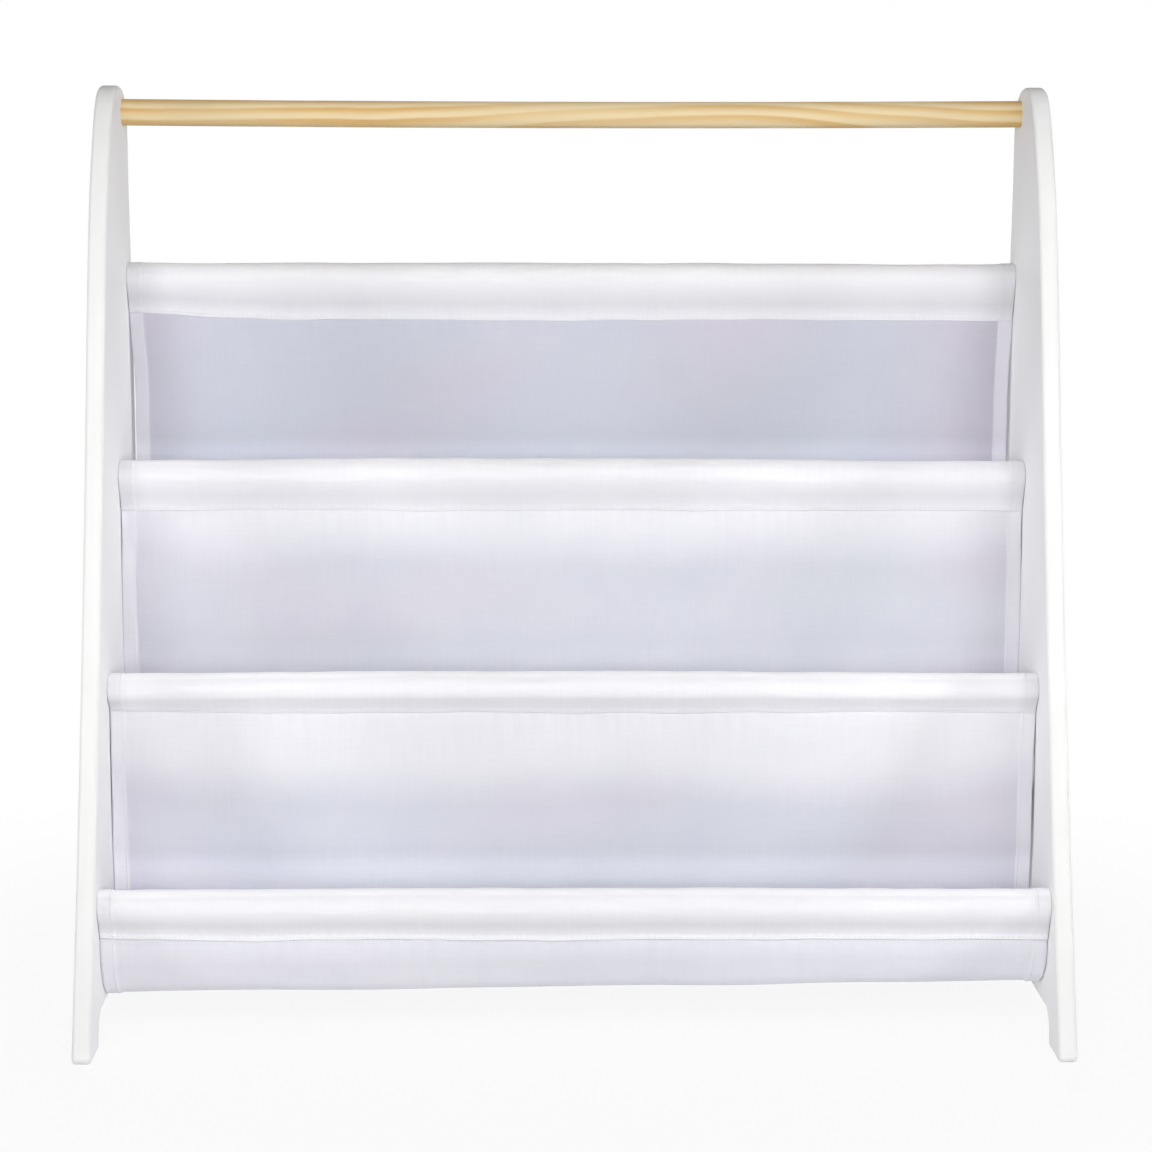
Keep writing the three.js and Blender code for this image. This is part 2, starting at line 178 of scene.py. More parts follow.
def flat_face(rim, holes, corners):
    """Triangles that fill a rim but not its holes; corners are the (y, z) of all points."""
    loops = [rim, *holes]
    numbers = [n for loop in loops for n in loop]
    edges = []
    for loop in loops:
        first = numbers.index(loop[0])
        edges += [(first + n, first + (n + 1) % len(loop)) for n in range(len(loop))]
    points = [Vector(corners[n]) for n in numbers]
    _, _, triangles, origins, _, _ = delaunay_2d_cdt(points, edges, [], 1, 1e-7)
    kept = []
    for triangle in triangles:
        names = [numbers[origins[n][0]] for n in triangle]
        if not any(set(names) <= set(hole) for hole in holes):
            kept.append(names)
    return kept


def add_object(name, data):
    """A new object in the scene."""
    added = bpy.data.objects.new(name, data)
    bpy.context.scene.collection.objects.link(added)
    return added


def add_piece(name, points, faces, finish, slot, stands_for=(), sharp_from=None):
    """A new piece of the shelf in the row frame, which rides on the whole shelf."""
    mesh = bpy.data.meshes.new(name)
    mesh.from_pydata([tuple(p) for p in points], [], [tuple(f) for f in faces])
    shape = bmesh.new()
    shape.from_mesh(mesh)
    bmesh.ops.recalc_face_normals(shape, faces=shape.faces)
    shape.to_mesh(mesh)
    shape.free()
    mesh.polygons.foreach_set("use_smooth", [True] * len(mesh.polygons))
    if sharp_from is not None:
        mesh.set_sharp_from_angle(angle=math.radians(sharp_from))
    mesh.materials.append(finish)
    piece = add_object(name, mesh)
    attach(piece, "root")
    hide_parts(*stands_for)
    return piece


def add_values(piece, name, values):
    """One number at each corner of a piece's mesh, for its finish to read."""
    layer = piece.data.attributes.new(name, "FLOAT", "POINT")
    layer.data.foreach_set("value", np.asarray(values, np.float32).ravel())


def new_finish(name):
    """An empty finish: its node tree and its surface shader."""
    finish = bpy.data.materials.new(name)
    finish.use_nodes = True
    return finish, finish.node_tree, finish.node_tree.nodes["Principled BSDF"]


def fill(tree, node, sockets):
    """Fills a node's sockets with numbers, colours or other nodes' outputs."""
    for socket, value in sockets.items():
        if isinstance(value, bpy.types.NodeSocket):
            tree.links.new(value, node.inputs[socket])
        else:
            node.inputs[socket].default_value = value


def put(tree, kind, sockets, **settings):
    """A new node with its settings and its filled sockets."""
    made = tree.nodes.new("ShaderNode" + kind)
    for setting, value in settings.items():
        setattr(made, setting, value)
    fill(tree, made, sockets)
    return made


def object_place(tree):
    """The place of a point on its own piece."""
    return put(tree, "TexCoord", {}).outputs["Object"]


def value_of(tree, name):
    """A number that is kept at the corners of the mesh."""
    return put(tree, "Attribute", {}, attribute_name=name).outputs["Fac"]


def sums(tree, operation, first, second=0.0, third=0.0):
    """The result of one sum with up to three numbers."""
    return put(tree, "Math", {0: first, 1: second, 2: third}, operation=operation).outputs[0]


def mixed(tree, share, first, second, way="MIX"):
    """Two colours mixed by a share."""
    sockets = {0: share, 6: first, 7: second}
    return put(tree, "Mix", sockets, data_type="RGBA", blend_type=way).outputs[2]


def cloudy(tree, place, scale, stretch=(1, 1, 1), detail=2.0):
    """A soft random pattern from 0 to 1, stretched along the axes."""
    moved = put(tree, "Mapping", {"Vector": place, "Scale": stretch}).outputs[0]
    sockets = {"Vector": moved, "Scale": scale, "Detail": detail}
    return put(tree, "TexNoise", sockets).outputs[0]


def between(tree, value, low, high, to_low=0.0, to_high=1.0, smooth=False):
    """A number moved from one range to another and kept inside it."""
    sockets = {0: value, 1: low, 2: high, 3: to_low, 4: to_high}
    way = "SMOOTHSTEP" if smooth else "LINEAR"
    return put(tree, "MapRange", sockets, interpolation_type=way).outputs[0]


def relief(tree, height, depth):
    """Relief of a given depth, from a height between 0 and 1."""
    return put(tree, "Bump", {"Height": height, "Distance": depth, "Strength": 1.0}).outputs[0]


def satin_paint():
    """Satin white paint from a roller: faint peel, clouded sheen and slightly rubbed edges."""
    finish, tree, shader = new_finish("satin_white_paint")
    place = object_place(tree)
    clouds = between(tree, cloudy(tree, place, 9.0), 0.35, 0.65)
    dabs = cloudy(tree, place, 60.0, (1, 1, 0.25))
    tone = mixed(tree, sums(tree, "MULTIPLY", clouds, 0.25), PAINT_WHITE, PAINT_SHADOW)
    worn_through = between(tree, dabs, 0.4, 0.7, 0.75, 0.95)
    wear = sums(tree, "MULTIPLY", value_of(tree, "rubbed"), worn_through)
    peel = cloudy(tree, place, 650.0, (1, 1, 0.6), 1.0)
    fill(tree, shader, {
        "Base Color": mixed(tree, wear, tone, PAINT_RUBBED),
        "Roughness": between(tree, sums(tree, "ADD", dabs, clouds), 0.4, 1.5, *PAINT_ROUGHNESS),
        "Normal": relief(tree, peel, PAINT_PEEL_DEPTH),
        "Specular IOR Level": PAINT_GLOSS,
    })
    return finish


def side_panel(name, node, side, paint):
    """One panel; side is -1 for the left one and 1 for the right one."""
    inner_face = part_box(node)[0 if side > 0 else 1].x
    outline = panel_outline()
    section = [(PANEL_RUBBED_WIDTH, 0)]
    for angle in np.linspace(0, math.pi / 2, PANEL_ROUND_STEPS + 1):
        section.append((
            PANEL_EDGE_ROUND * (1 - math.sin(angle)), PANEL_EDGE_ROUND * (1 - math.cos(angle))))
    section += [(distance, PANEL_THICKNESS - depth) for distance, depth in section[::-1]]
    points = []
    flat = []
    rubbed = []

    def add_ring(places, depth, wear):
        first = len(points)
        for y, z in places:
            points.append((inner_face + side * depth, y, z))
            flat.append((y, z))
            rubbed.append(wear)
        return list(range(first, len(points)))

    rings = []
    for distance, depth in section:
        wear = 0.0 if distance == PANEL_RUBBED_WIDTH else 1.0
        rings.append(add_ring(inset(outline, distance), depth, wear))
    faces = closed_bands(rings)
    recess_floor = PANEL_THICKNESS - HEAD_RECESS_DEPTH
    lip = [(HOLE_LIP, 0), (HOLE_LIP * 0.3, HOLE_LIP * 0.3), (0, HOLE_LIP)]
    hole_section = [(ROD_SOCKET_RADIUS + out, depth) for out, depth in lip]
    hole_section += [(ROD_SOCKET_RADIUS, ROD_SOCKET_DEPTH), (BOLT_HOLE_RADIUS, ROD_SOCKET_DEPTH)]
    hole_section += [(BOLT_HOLE_RADIUS, recess_floor), (HEAD_RECESS_RADIUS, recess_floor)]
    hole_section += [
        (HEAD_RECESS_RADIUS + out, PANEL_THICKNESS - depth) for out, depth in lip[::-1]]
    turn = np.linspace(0, 2 * math.pi, HOLE_SIDES, endpoint=False)
    circle = np.stack([np.cos(turn), np.sin(turn)], axis=1)
    sockets = []
    recesses = []
    for crossbar in CROSSBARS:
        middle = middle_of(crossbar)
        hole = [
            add_ring((middle.y, middle.z) + circle * radius, depth, 0.0)
            for radius, depth in hole_section]
        faces += closed_bands(hole)
        sockets.append(hole[0])
        recesses.append(hole[-1])
    corners = np.array(flat)
    faces += flat_face(rings[0], sockets, corners)
    faces += flat_face(rings[-1], recesses, corners)
    panel = add_piece(name, points, faces, paint, "white_panel", [node], sharp_from=40)
    add_values(panel, "rubbed", rubbed)
    panel.modifiers.new("even_shading", "WEIGHTED_NORMAL").keep_sharp = True


white_paint = satin_paint()
side_panel("panel_left", "left_side_panel", -1, white_paint)
side_panel("panel_right", "right_side_panel", 1, white_paint)

# Top rail and sling rods: round pine bars of one stock, cut to length, with a chamfer and a
# stepped hole in each end. The rail is sanded and lacquered, and the rods stay in the cloth.
ROD_RADIUS = 0.00875
ROD_SIDES = 64
ROD_CHAMFER = 0.0008
ROD_UNEVENNESS = 0.00004
RAIL_SAG = 0.0012
ROD_HOLE_STEPS = [(0.0035, 0.0188), (0.00505, 0.0143), (0.00655, 0.0015)]
ROD_ROWS = 44
ROD_EVEN_END = 0.01
PINE_PALE = (0.83, 0.68, 0.425, 1)
PINE_STREAK = (0.68, 0.4, 0.115, 1)
PINE_FIBRE = (0.75, 0.55, 0.27, 1)
PINE_GLOSS = 0.1


def turned(rows, sides):
    """Points and faces of a turned piece along X, from rows of (place along it, radius). A
    radius may differ round the row, and a radius of 0 closes an end."""
    turn = np.linspace(0, 2 * math.pi, sides, endpoint=False)
    points = []
    rings = []
    caps = []
    for place, radius in rows:
        if np.max(radius) == 0:
            caps.append((len(points), len(rings)))
            points.append((place, 0.0, 0.0))
            continue
        wide = np.broadcast_to(radius, sides)
        rings.append(list(range(len(points), len(points) + sides)))
        points += [(place, r * math.cos(a), r * math.sin(a)) for r, a in zip(wide, turn)]
    faces = closed_bands(rings)
    for cap, ring_count in caps:
        ring = rings[0] if ring_count == 0 else rings[-1]
        faces += [(cap, ring[n], ring[(n + 1) % sides]) for n in range(sides)]
    return np.array(points), faces


def new_effect(name, inputs, outputs):
    """A group of nodes with named sockets: its tree, the values it takes and its results."""
    group = bpy.data.node_groups.new(name, "ShaderNodeTree")
    for in_out, sockets in (("INPUT", inputs), ("OUTPUT", outputs)):
        for socket, kind in sockets.items():
            group.interface.new_socket(socket, in_out=in_out, socket_type="NodeSocket" + kind)
    return group, group.nodes.new("NodeGroupInput").outputs, group.nodes.new("NodeGroupOutput")


def pine_grain():
    """Growth rings that run nearly along the bar, with fine fibres between them."""
    group, given, result = new_effect(
        "pine_grain", {"Ring Spacing": "Float", "Wander": "Float", "Side": "Float"},
        {"Color": "Color", "Roughness": "Float", "Height": "Float"})
    place = object_place(group)
    x, y, z = put(group, "SeparateXYZ", {0: place}).outputs
    climb = between(group, x, -0.14, 0.1, 0.0, 0.0115, smooth=True)
    fall = between(group, x, 0.09, 0.29, 0.0, 0.0125, smooth=True)
    drift = sums(group, "SUBTRACT", cloudy(group, place, 6.0, (1, 0, 0)), 0.5)
    path = sums(group, "MULTIPLY_ADD", drift, 0.006, sums(group, "SUBTRACT", climb, fall))
    height = sums(group, "SUBTRACT", z, sums(group, "MULTIPLY", path, given["Wander"]))
    aslant = sums(group, "MULTIPLY_ADD", y, given["Side"], height)
    wavy = sums(group, "SUBTRACT", cloudy(group, place, 26.0, (0.35, 1, 1), 1.0), 0.5)
    uneven = sums(group, "MULTIPLY_ADD", wavy, 0.0035, aslant)
    part = sums(group, "FRACT", sums(group, "DIVIDE", uneven, given["Ring Spacing"]))
    rising = between(group, part, 0.1, 0.75, smooth=True)
    ending = between(group, part, 0.78, 0.98, 1.0, 0.0, smooth=True)
    latewood = sums(group, "MULTIPLY", rising, ending)
    strength = between(group, cloudy(group, place, 14.0, (0.5, 1, 1), 0.0), 0.3, 0.7, 0.35, 1.2)
    latewood = sums(group, "MULTIPLY", latewood, strength)
    fine = between(group, cloudy(group, place, 420.0, (0.03, 1, 1), 3.0), 0.35, 0.75)
    streaked = mixed(group, sums(group, "MULTIPLY", latewood, 0.8), PINE_PALE, PINE_STREAK)
    fill(group, result, {
        "Color": mixed(group, sums(group, "MULTIPLY", fine, 0.28), streaked, PINE_FIBRE),
        "Roughness": sums(group, "MULTIPLY_ADD", fine, 0.12, 0.4),
        "Height": sums(group, "MULTIPLY_ADD", latewood, 0.4, fine),
    })
    return group


def finish_of(name, effect, values, depth, constants):
    """A finish whose colour, roughness and relief come from one group of nodes."""
    finish, tree, shader = new_finish(name)
    seen = put(tree, "Group", values, node_tree=effect).outputs
    fill(tree, shader, {
        "Base Color": seen["Color"],
        "Roughness": seen["Roughness"],
        "Normal": relief(tree, seen["Height"], depth),
        **constants,
    })
    return finish


def round_bar(name, node, finish, seed, sag=0.0):
    """One bar where its node lies, with a chamfer and a stepped hole in each end. The middle of
    a bar that has warped lies lower by its sag."""
    low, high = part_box(node)
    half = (high.x - low.x) / 2
    draw = np.random.default_rng(seed)
    end = [(half - ROD_HOLE_STEPS[0][1], 0)]
    for (radius, depth), (_, shallower) in zip(ROD_HOLE_STEPS, [*ROD_HOLE_STEPS[1:], (0, 0)]):
        end += [(half - depth, radius), (half - shallower, radius)]
    end += [(half, ROD_RADIUS - ROD_CHAMFER), (half - ROD_CHAMFER, ROD_RADIUS)]
    inside = half - ROD_EVEN_END
    places = np.linspace(inside, -inside, ROD_ROWS)
    uneven = draw.normal(0, ROD_UNEVENNESS, (ROD_ROWS // 4 + 1, 1))
    uneven = curve_through(uneven, 4)[:ROD_ROWS, 0]
    body = [(place, ROD_RADIUS + out) for place, out in zip(places, np.minimum(uneven, 0))]
    other_end = [(-place, radius) for place, radius in end[::-1]]
    points, faces = turned([*end, *body, *other_end], ROD_SIDES)
    points[:, 2] -= sag * (1 - (points[:, 0] / half) ** 2)
    add_piece(
        name, points + np.array(middle_of(node)), faces, finish, "pine", [node], sharp_from=40)


pine = pine_grain()
rail_pine = finish_of(
    "lacquered_pine", pine, {"Ring Spacing": 0.0075, "Wander": 1.0, "Side": 0.25}, 0.00002,
    {"Specular IOR Level": PINE_GLOSS})
rod_pine = finish_of(
    "bare_pine", pine, {"Ring Spacing": 0.003, "Wander": 0.6, "Side": 0.8}, 0.00004,
    {"Specular IOR Level": PINE_GLOSS})
round_bar("rail", "top_rail", rail_pine, 11, RAIL_SAG)
for number in range(1, 5):
    round_bar(f"rod_{number}", f"sling_rod_{number}", rod_pine, 20 + number)

# Threaded inserts: turned brass, pressed flush into both ends of the rail and of each rod.
# A collar stops each one, and coarse barbs round the body hold it in the end grain.
INSERT_LENGTH = 0.014
INSERT_COLLAR = (0.00625, 0.0012)
INSERT_BODY_RADIUS = 0.00475
INSERT_BARB_DEPTH = 0.0005
INSERT_BARB_PITCH = 0.002
INSERT_BORE_RADIUS = 0.0033
INSERT_PLAIN_END = 0.0005
COLLAR_EDGE = 0.0002
BORE_EDGE = 0.0003
FASTENER_SIDES = 36
FASTENER_TURN = 37
TOOL_MARK_DEPTH = 0.00001
BRASS = (0.72, 0.5, 0.2, 1)
BRASS_DULL = (0.5, 0.34, 0.15, 1)


def turned_metal():
    """Fine tool marks round a turned or plated piece, with a dull bloom in patches."""
    group, given, result = new_effect(
        "turned_metal", {"Bright": "Color", "Dull": "Color"},
        {"Color": "Color", "Roughness": "Float", "Height": "Float"})
    place = object_place(group)
    x, y, z = put(group, "SeparateXYZ", {0: place}).outputs
    squares = [sums(group, "MULTIPLY", way, way) for way in (y, z)]
    out = sums(group, "SQRT", sums(group, "ADD", *squares))
    row = put(group, "CombineXYZ", {0: x, 1: out}).outputs[0]
    marks = cloudy(group, row, 5000.0, detail=1.0)
    bloom = between(group, cloudy(group, place, 240.0, detail=3.0), 0.4, 0.7)
    rough = sums(group, "MULTIPLY_ADD", marks, 0.12, 0.2)
    fill(group, result, {
        "Color": mixed(group, bloom, given["Bright"], given["Dull"]),
        "Roughness": sums(group, "MULTIPLY_ADD", bloom, 0.15, rough),
        "Height": marks,
    })
    return group


def metal_finish(name, bright, dull):
    """A metal with its bright and its dull colour."""
    return finish_of(
        name, tool_marks, {"Bright": bright, "Dull": dull}, TOOL_MARK_DEPTH, {"Metallic": 1.0})


def thread_rows(start, end, root, crest, pitch):
    """Rows of a screw thread that winds round a piece between two places along it."""
    turn = np.arange(FASTENER_SIDES) / FASTENER_SIDES
    rows = []
    for place in np.arange(start, end, pitch / 6):
        wave = np.abs((place / pitch - turn) % 1 * 2 - 1)
        rows.append((place, root + (crest - root) * np.clip(1.6 * wave - 0.3, 0, 1)))
    return rows


def add_fasteners(shape, points, faces, finish, slot, proud=0.0):
    """One piece for each end of each bar, all of one mesh, its axis pointing outwards. Its
    outer end stands proud of its seat by the length given."""
    first = None
    for number, crossbar in enumerate(CROSSBARS):
        short = crossbar.replace("top_", "").replace("sling_", "")
        for side_name, side in (("left", -1), ("right", 1)):
            node = f"{shape}_{short}_{side_name}"
            name = f"{short}_{side_name}_{shape}"
            if first is None:
                piece = first = add_piece(name, points, faces, finish, slot, [node], sharp_from=35)
            else:
                piece = add_object(name, first.data)
                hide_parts(node)
            piece.parent = None
            turn = math.radians(FASTENER_TURN * (number * 2 + side))
            piece.rotation_euler = (turn, 0, 0 if side > 0 else math.pi)
            middle = middle_of(crossbar)
            outer_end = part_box(node)[1 if side > 0 else 0].x
            piece.location = (outer_end - side * proud, middle.y, middle.z)
            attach(piece, "root")


def insert_shape():
    """An insert with its axis along X and zero at its outer end."""
    collar_radius, collar = INSERT_COLLAR
    barb_root = INSERT_BODY_RADIUS - INSERT_BARB_DEPTH
    rows = [(-INSERT_LENGTH, INSERT_BORE_RADIUS), (-INSERT_LENGTH, barb_root)]
    rows += thread_rows(
        INSERT_PLAIN_END - INSERT_LENGTH, -collar - INSERT_PLAIN_END, barb_root,
        INSERT_BODY_RADIUS, INSERT_BARB_PITCH)
    rows += [
        (-collar, barb_root),
        (-collar, collar_radius),
        (-COLLAR_EDGE, collar_radius),
        (0, collar_radius - COLLAR_EDGE),
        (0, INSERT_BORE_RADIUS + BORE_EDGE),
        (-BORE_EDGE, INSERT_BORE_RADIUS),
    ]
    points, faces = turned(rows, FASTENER_SIDES)
    last = len(points) - FASTENER_SIDES
    faces += closed_bands([list(range(last, len(points))), list(range(FASTENER_SIDES))])
    return points, faces


tool_marks = turned_metal()
brass_finish = metal_finish("turned_brass", BRASS, BRASS_DULL)
add_fasteners("insert", *insert_shape(), brass_finish, "brass")

# Furniture bolts: zinc-plated steel with a wide flat head and a hexagon socket. Each goes in
# from outside through the panel, and its head seats in the recess below the outer face.
BOLT_LENGTH = 0.022
BOLT_SHANK_RADIUS = 0.003
BOLT_THREAD_DEPTH = 0.00045
BOLT_THREAD_PITCH = 0.001
BOLT_PLAIN_LENGTH = 0.0075
BOLT_HEAD_RADIUS = 0.0075
BOLT_HEAD_THICKNESS = 0.002
BOLT_HEAD_ROUND = 0.0006
HEX_HALF_WIDTH = 0.002
HEX_DEPTH = 0.0026
HEX_CHAMFER = 0.0003
HEX_CONE = 0.0005
BOLT_TIP_CHAMFER = 0.0007
ZINC = (0.66, 0.67, 0.68, 1)
ZINC_DULL = (0.45, 0.46, 0.47, 1)


def bolt_shape():
    """A bolt with its axis along X and zero where its head seats."""
    turn = np.arange(FASTENER_SIDES) / FASTENER_SIDES * 360
    hexagon = HEX_HALF_WIDTH / np.cos(np.radians((turn + 30) % 60 - 30))
    tip = -BOLT_LENGTH
    rows = [(tip, 0), (tip, BOLT_SHANK_RADIUS - BOLT_TIP_CHAMFER)]
    rows += thread_rows(
        tip + BOLT_TIP_CHAMFER, -BOLT_PLAIN_LENGTH, BOLT_SHANK_RADIUS - BOLT_THREAD_DEPTH,
        BOLT_SHANK_RADIUS, BOLT_THREAD_PITCH)
    rows += [(-BOLT_PLAIN_LENGTH, BOLT_SHANK_RADIUS), (0, BOLT_SHANK_RADIUS)]
    rows.append((0, BOLT_HEAD_RADIUS))
    for angle in np.linspace(0, math.pi / 2, 5):
        rows.append((
            BOLT_HEAD_THICKNESS - BOLT_HEAD_ROUND * (1 - math.sin(angle)),
            BOLT_HEAD_RADIUS - BOLT_HEAD_ROUND * (1 - math.cos(angle))))
    rows += [
        (BOLT_HEAD_THICKNESS, HEX_HALF_WIDTH + 2 * HEX_CHAMFER),
        (BOLT_HEAD_THICKNESS - HEX_CHAMFER, hexagon),
        (BOLT_HEAD_THICKNESS - HEX_DEPTH, hexagon),
        (BOLT_HEAD_THICKNESS - HEX_DEPTH - HEX_CONE, 0),
    ]
    return turned(rows, FASTENER_SIDES)


steel_finish = metal_finish("zinc_plated_steel", ZINC, ZINC_DULL)
add_fasteners("bolt", *bolt_shape(), steel_finish, "steel", BOLT_HEAD_THICKNESS)

# Cloth of the sling: one strip of white cotton, hemmed along both sides. It comes up behind
# each rod, goes over it and down its front, and is stitched to itself below the rod.
CLOTH_HALF_THICKNESS = 0.00045
CLOTH_HALF_WIDTH = 0.2984
SLEEVE_HALF_WIDTH = 0.2989
CLOTH_PITCH = 0.0026
HEM_COLUMNS = [0, 0.4, 1, 2, 4, 6.4, 7.6, 8.2, 8.8, 9.3, 9.8, 10.6, 12, 14.2]
HEM_WIDTH = 0.0095
HEM_STEP = 0.0012
FOLDED_EDGE_ROUND = 0.0009
HEM_EXTRA = 0.0007
HEM_EXTRA_IN_SLEEVE = 0.00035
SLEEVE_RADIUS = 0.0096
SLEEVE_SAG = 0.0002
SLEEVE_WALL_ROWS = [0, 0.7, 1.4, 2.2, 3, 3.8, 4.6, 5.2, 5.8, 7, 9, 12]
SLEEVE_TURN_ROWS = 40
SLEEVE_PUFFS = [0.0006, 0.0021, 0.0016, 0.001]
SLEEVE_PUFF_LIFTS = 0.7
SEAM_BAND = 0.0052
SEAM_BAND_RAISE = 0.0002
SEAM_BAND_FADE = 0.0022
SEAM_DIMPLE_PLACE = 0.0019
SEAM_DIMPLE_WIDTH = 0.0005
SEAM_DIMPLE_DEPTH = 0.8
SEAM_LOWER = [0.0014, 0, 0, 0]
SEAM_LEFT_RISES = [0.0054, 0.0004, 0.0018, 0.0016]
SEAM_PINCH = 0.0005
RIPPLE_COUNT = 7
SEAM_WAVER = (40, 0.00025, 0.07, 1)
SEAM_SWAY = (50, 0.0004, 0.21, 1)
SHEET_SWELL = (60, 0.0009, 0.2, 0.24)
SHEET_CREASE = (70, 0.00022, 0.06, 0.12)
SEAM_PUCKER = (80, 0.00022, 0.0105, 0.4)
SLEEVE_SWELL = (90, 0.00016, 0.13, 1)
SLEEVE_CREASE = (100, 0.00012, 0.05, 1.4)
SEAM_BAND_WAVER = (110, 0.0004, 0.018, 1)
# Painted light and shade on the sleeves' colour: a highlight along the rod's top, shade under it
# and at the ends, light on the seam band.
SLEEVE_PAINTED_LIGHT = [(0.985, 1.07), (0.965, 1.07), (0.96, 1.03), (0.985, 1.035)]
SLEEVE_TOP_PAINTED_HIGHLIGHT = [0.04, 0.1, 0.2, 0.22]
SLEEVE_BELOW_PAINTED_SHADE = [0.1, 0.04, 0.03, 0.13]
SEAM_BAND_PAINTED_LIGHT = [0.06, 0.05, 0.05, 0.16]
# Whiter doubled cloth below the rod: partly real layers, partly painted light.
SLEEVE_LAYERS_BELOW = 0.85
SLEEVE_ENDS_PAINTED_SHADE = [(0.17, 0.032), (0.13, 0.02), (0.1, 0.016), (0.04, 0.012)]
SHEET_SPACING = 0.00075
SHEET_SWELLS_WITHIN = 0.05
SEAM_PUCKER_FADE = 0.011
SEAM_PUCKER_FROM = 0.0018
CLOTH_WHITE = (0.885, 0.88, 0.91, 1)
CLOTH_LAVENDER = (0.65, 0.625, 0.715, 1)
CLOTH_BLUE = (0.613, 0.632, 0.713, 1)
rods = [middle_of(f"sling_rod_{n}") for n in range(1, 5)]
seam_heights = [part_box(f"sling_sleeve_{n}")[0].z for n in range(1, 5)]


def eased(share):
    """A share from 0 to 1 that starts and ends softly."""
    kept = np.clip(share, 0, 1)
    return kept * kept * (3 - 2 * kept)


def ripples(waves, number, x, place=0):
    """A smooth random height over the cloth, different for each number. The waves are given as
    a seed, their height, and their lengths across the cloth and along it."""
    seed, height, length_across, length_along = waves
    draw = np.random.default_rng(seed + number)
    starts = draw.uniform(0, 2 * math.pi, RIPPLE_COUNT)
    leans = draw.uniform(-1, 1, RIPPLE_COUNT)
    spans = draw.uniform(0.65, 1.5, RIPPLE_COUNT)
    total = 0.0
    for start, lean, span in zip(starts, leans, spans):
        turns = x / length_across / span + lean * place / length_along
        total = total + np.sin(2 * math.pi * turns + start)
    return total / RIPPLE_COUNT**0.5 * height


def cloth_stations():
    """Places across the cloth, close together at the hems, as shares from -1 to 1."""
    left = np.array(HEM_COLUMNS) / 1000 - CLOTH_HALF_WIDTH
    count = round(-2 * left[-1] / CLOTH_PITCH) + 1
    middle = np.linspace(left[-1], -left[-1], count)[1:-1]
    return np.r_[left, middle, -left[::-1]] / CLOTH_HALF_WIDTH


across = cloth_stations()
from_edge = CLOTH_HALF_WIDTH * (1 - np.abs(across))
in_hem = eased((HEM_WIDTH + HEM_STEP / 2 - from_edge) / HEM_STEP)
folded_edge = eased(from_edge / FOLDED_EDGE_ROUND) * 0.75 + 0.25


def painted_light_across(middle, sides):
    """Painted light: how much the cloth's colour is raised or lowered across, from middle to
    sides.
    """
    return middle + (sides - middle) * eased((np.abs(across) - 0.12) / 0.65)


def seam_line(rod):
    """Height of the seam under a rod at each place across, a little uneven as sewn."""
    x = across * SLEEVE_HALF_WIDTH
    uneven = ripples(SEAM_WAVER, rod, x) + ripples(SEAM_SWAY, rod, x)
    risen = SEAM_LEFT_RISES[rod] * np.clip((-x - 0.17) / 0.128, 0, 1) ** 2
    return seam_heights[rod] - SEAM_LOWER[rod] + uneven + risen


def sheet_shift(rod, x, below):
    """How far forward or back the sheets under a rod stand, at a depth below the seam."""
    swell = ripples(SHEET_SWELL, rod, x, below) + ripples(SHEET_CREASE, rod, x, below)
    hanging = eased(below / SHEET_SWELLS_WITHIN)
    gathered = np.exp(-below / SEAM_PUCKER_FADE) * eased(below / SEAM_PUCKER_FROM)
    return swell * hanging + ripples(SEAM_PUCKER, rod, x, below) * gathered


class Strip:
    """A stretch of the cloth: its middle surface over rows along it and stations across it."""

    def __init__(self, x, y, z, band, double, lit, hem_extra):
        self.x, self.y, self.z = x, y, z
        self.band, self.double, self.lit, self.hem_extra = band, double, lit, hem_extra
        forward_y = np.gradient(y, axis=0)
        forward_z = np.gradient(z, axis=0)
        length = np.hypot(forward_y, forward_z)
        self.out_y, self.out_z = forward_z / length, -forward_y / length
        steps = np.hypot(np.diff(y, axis=0), np.diff(z, axis=0))
        self.along = np.vstack([np.zeros(y.shape[1]), np.cumsum(steps, axis=0)])

    def face(self, under):
        """Corners of the upper face, which turns to the books, or of the one under it, onto
        which the hems are folded."""
        if under:
            away = -(CLOTH_HALF_THICKNESS + self.hem_extra * in_hem) * folded_edge
        else:
            away = CLOTH_HALF_THICKNESS * folded_edge + self.band
        return np.stack([self.x, self.y + self.out_y * away, self.z + self.out_z * away], axis=-1)


def cloth_piece(name, strip, node, start):
    """One closed piece of cloth from a strip, with its layers, its painted light and shade, and
    its threads. Its threads start where those of the strip before it end."""
    rows, columns = strip.y.shape
    count = rows * columns
    points = np.concatenate([strip.face(False).reshape(-1, 3), strip.face(True).reshape(-1, 3)])
    number = np.arange(count).reshape(rows, columns)
    here, right = number[:-1, :-1], number[:-1, 1:]
    up, across_up = number[1:, :-1], number[1:, 1:]
    front = np.stack([here, right, across_up, up], axis=-1).reshape(-1, 4)
    back = np.stack([here, up, across_up, right], axis=-1).reshape(-1, 4) + count
    rim = np.r_[number[0, :-1], number[:-1, -1], number[-1, :0:-1], number[:0:-1, 0]]
    following = np.roll(rim, -1)
    sides = np.stack([rim, rim + count, following + count, following], axis=-1)
    faces = np.concatenate([front, back, sides]).tolist()
    piece = add_piece(name, points.tolist(), faces, canvas, "canvas", [node])
    add_values(piece, "layers_and_painted_light", np.tile(strip.double.ravel(), 2))
    add_values(piece, "lit_through", np.tile(strip.lit.ravel(), 2))
    place_x = np.tile(np.broadcast_to(across * CLOTH_HALF_WIDTH, (rows, columns)).ravel(), 2)
    place_s = np.tile((strip.along + start).ravel(), 2)
    corner = np.zeros(len(piece.data.loops), int)
    piece.data.loops.foreach_get("vertex_index", corner)
    threads = piece.data.uv_layers.new(name="threads")
    threads.data.foreach_set("uv", np.stack([place_x[corner], place_s[corner]], axis=1).ravel())
    return piece


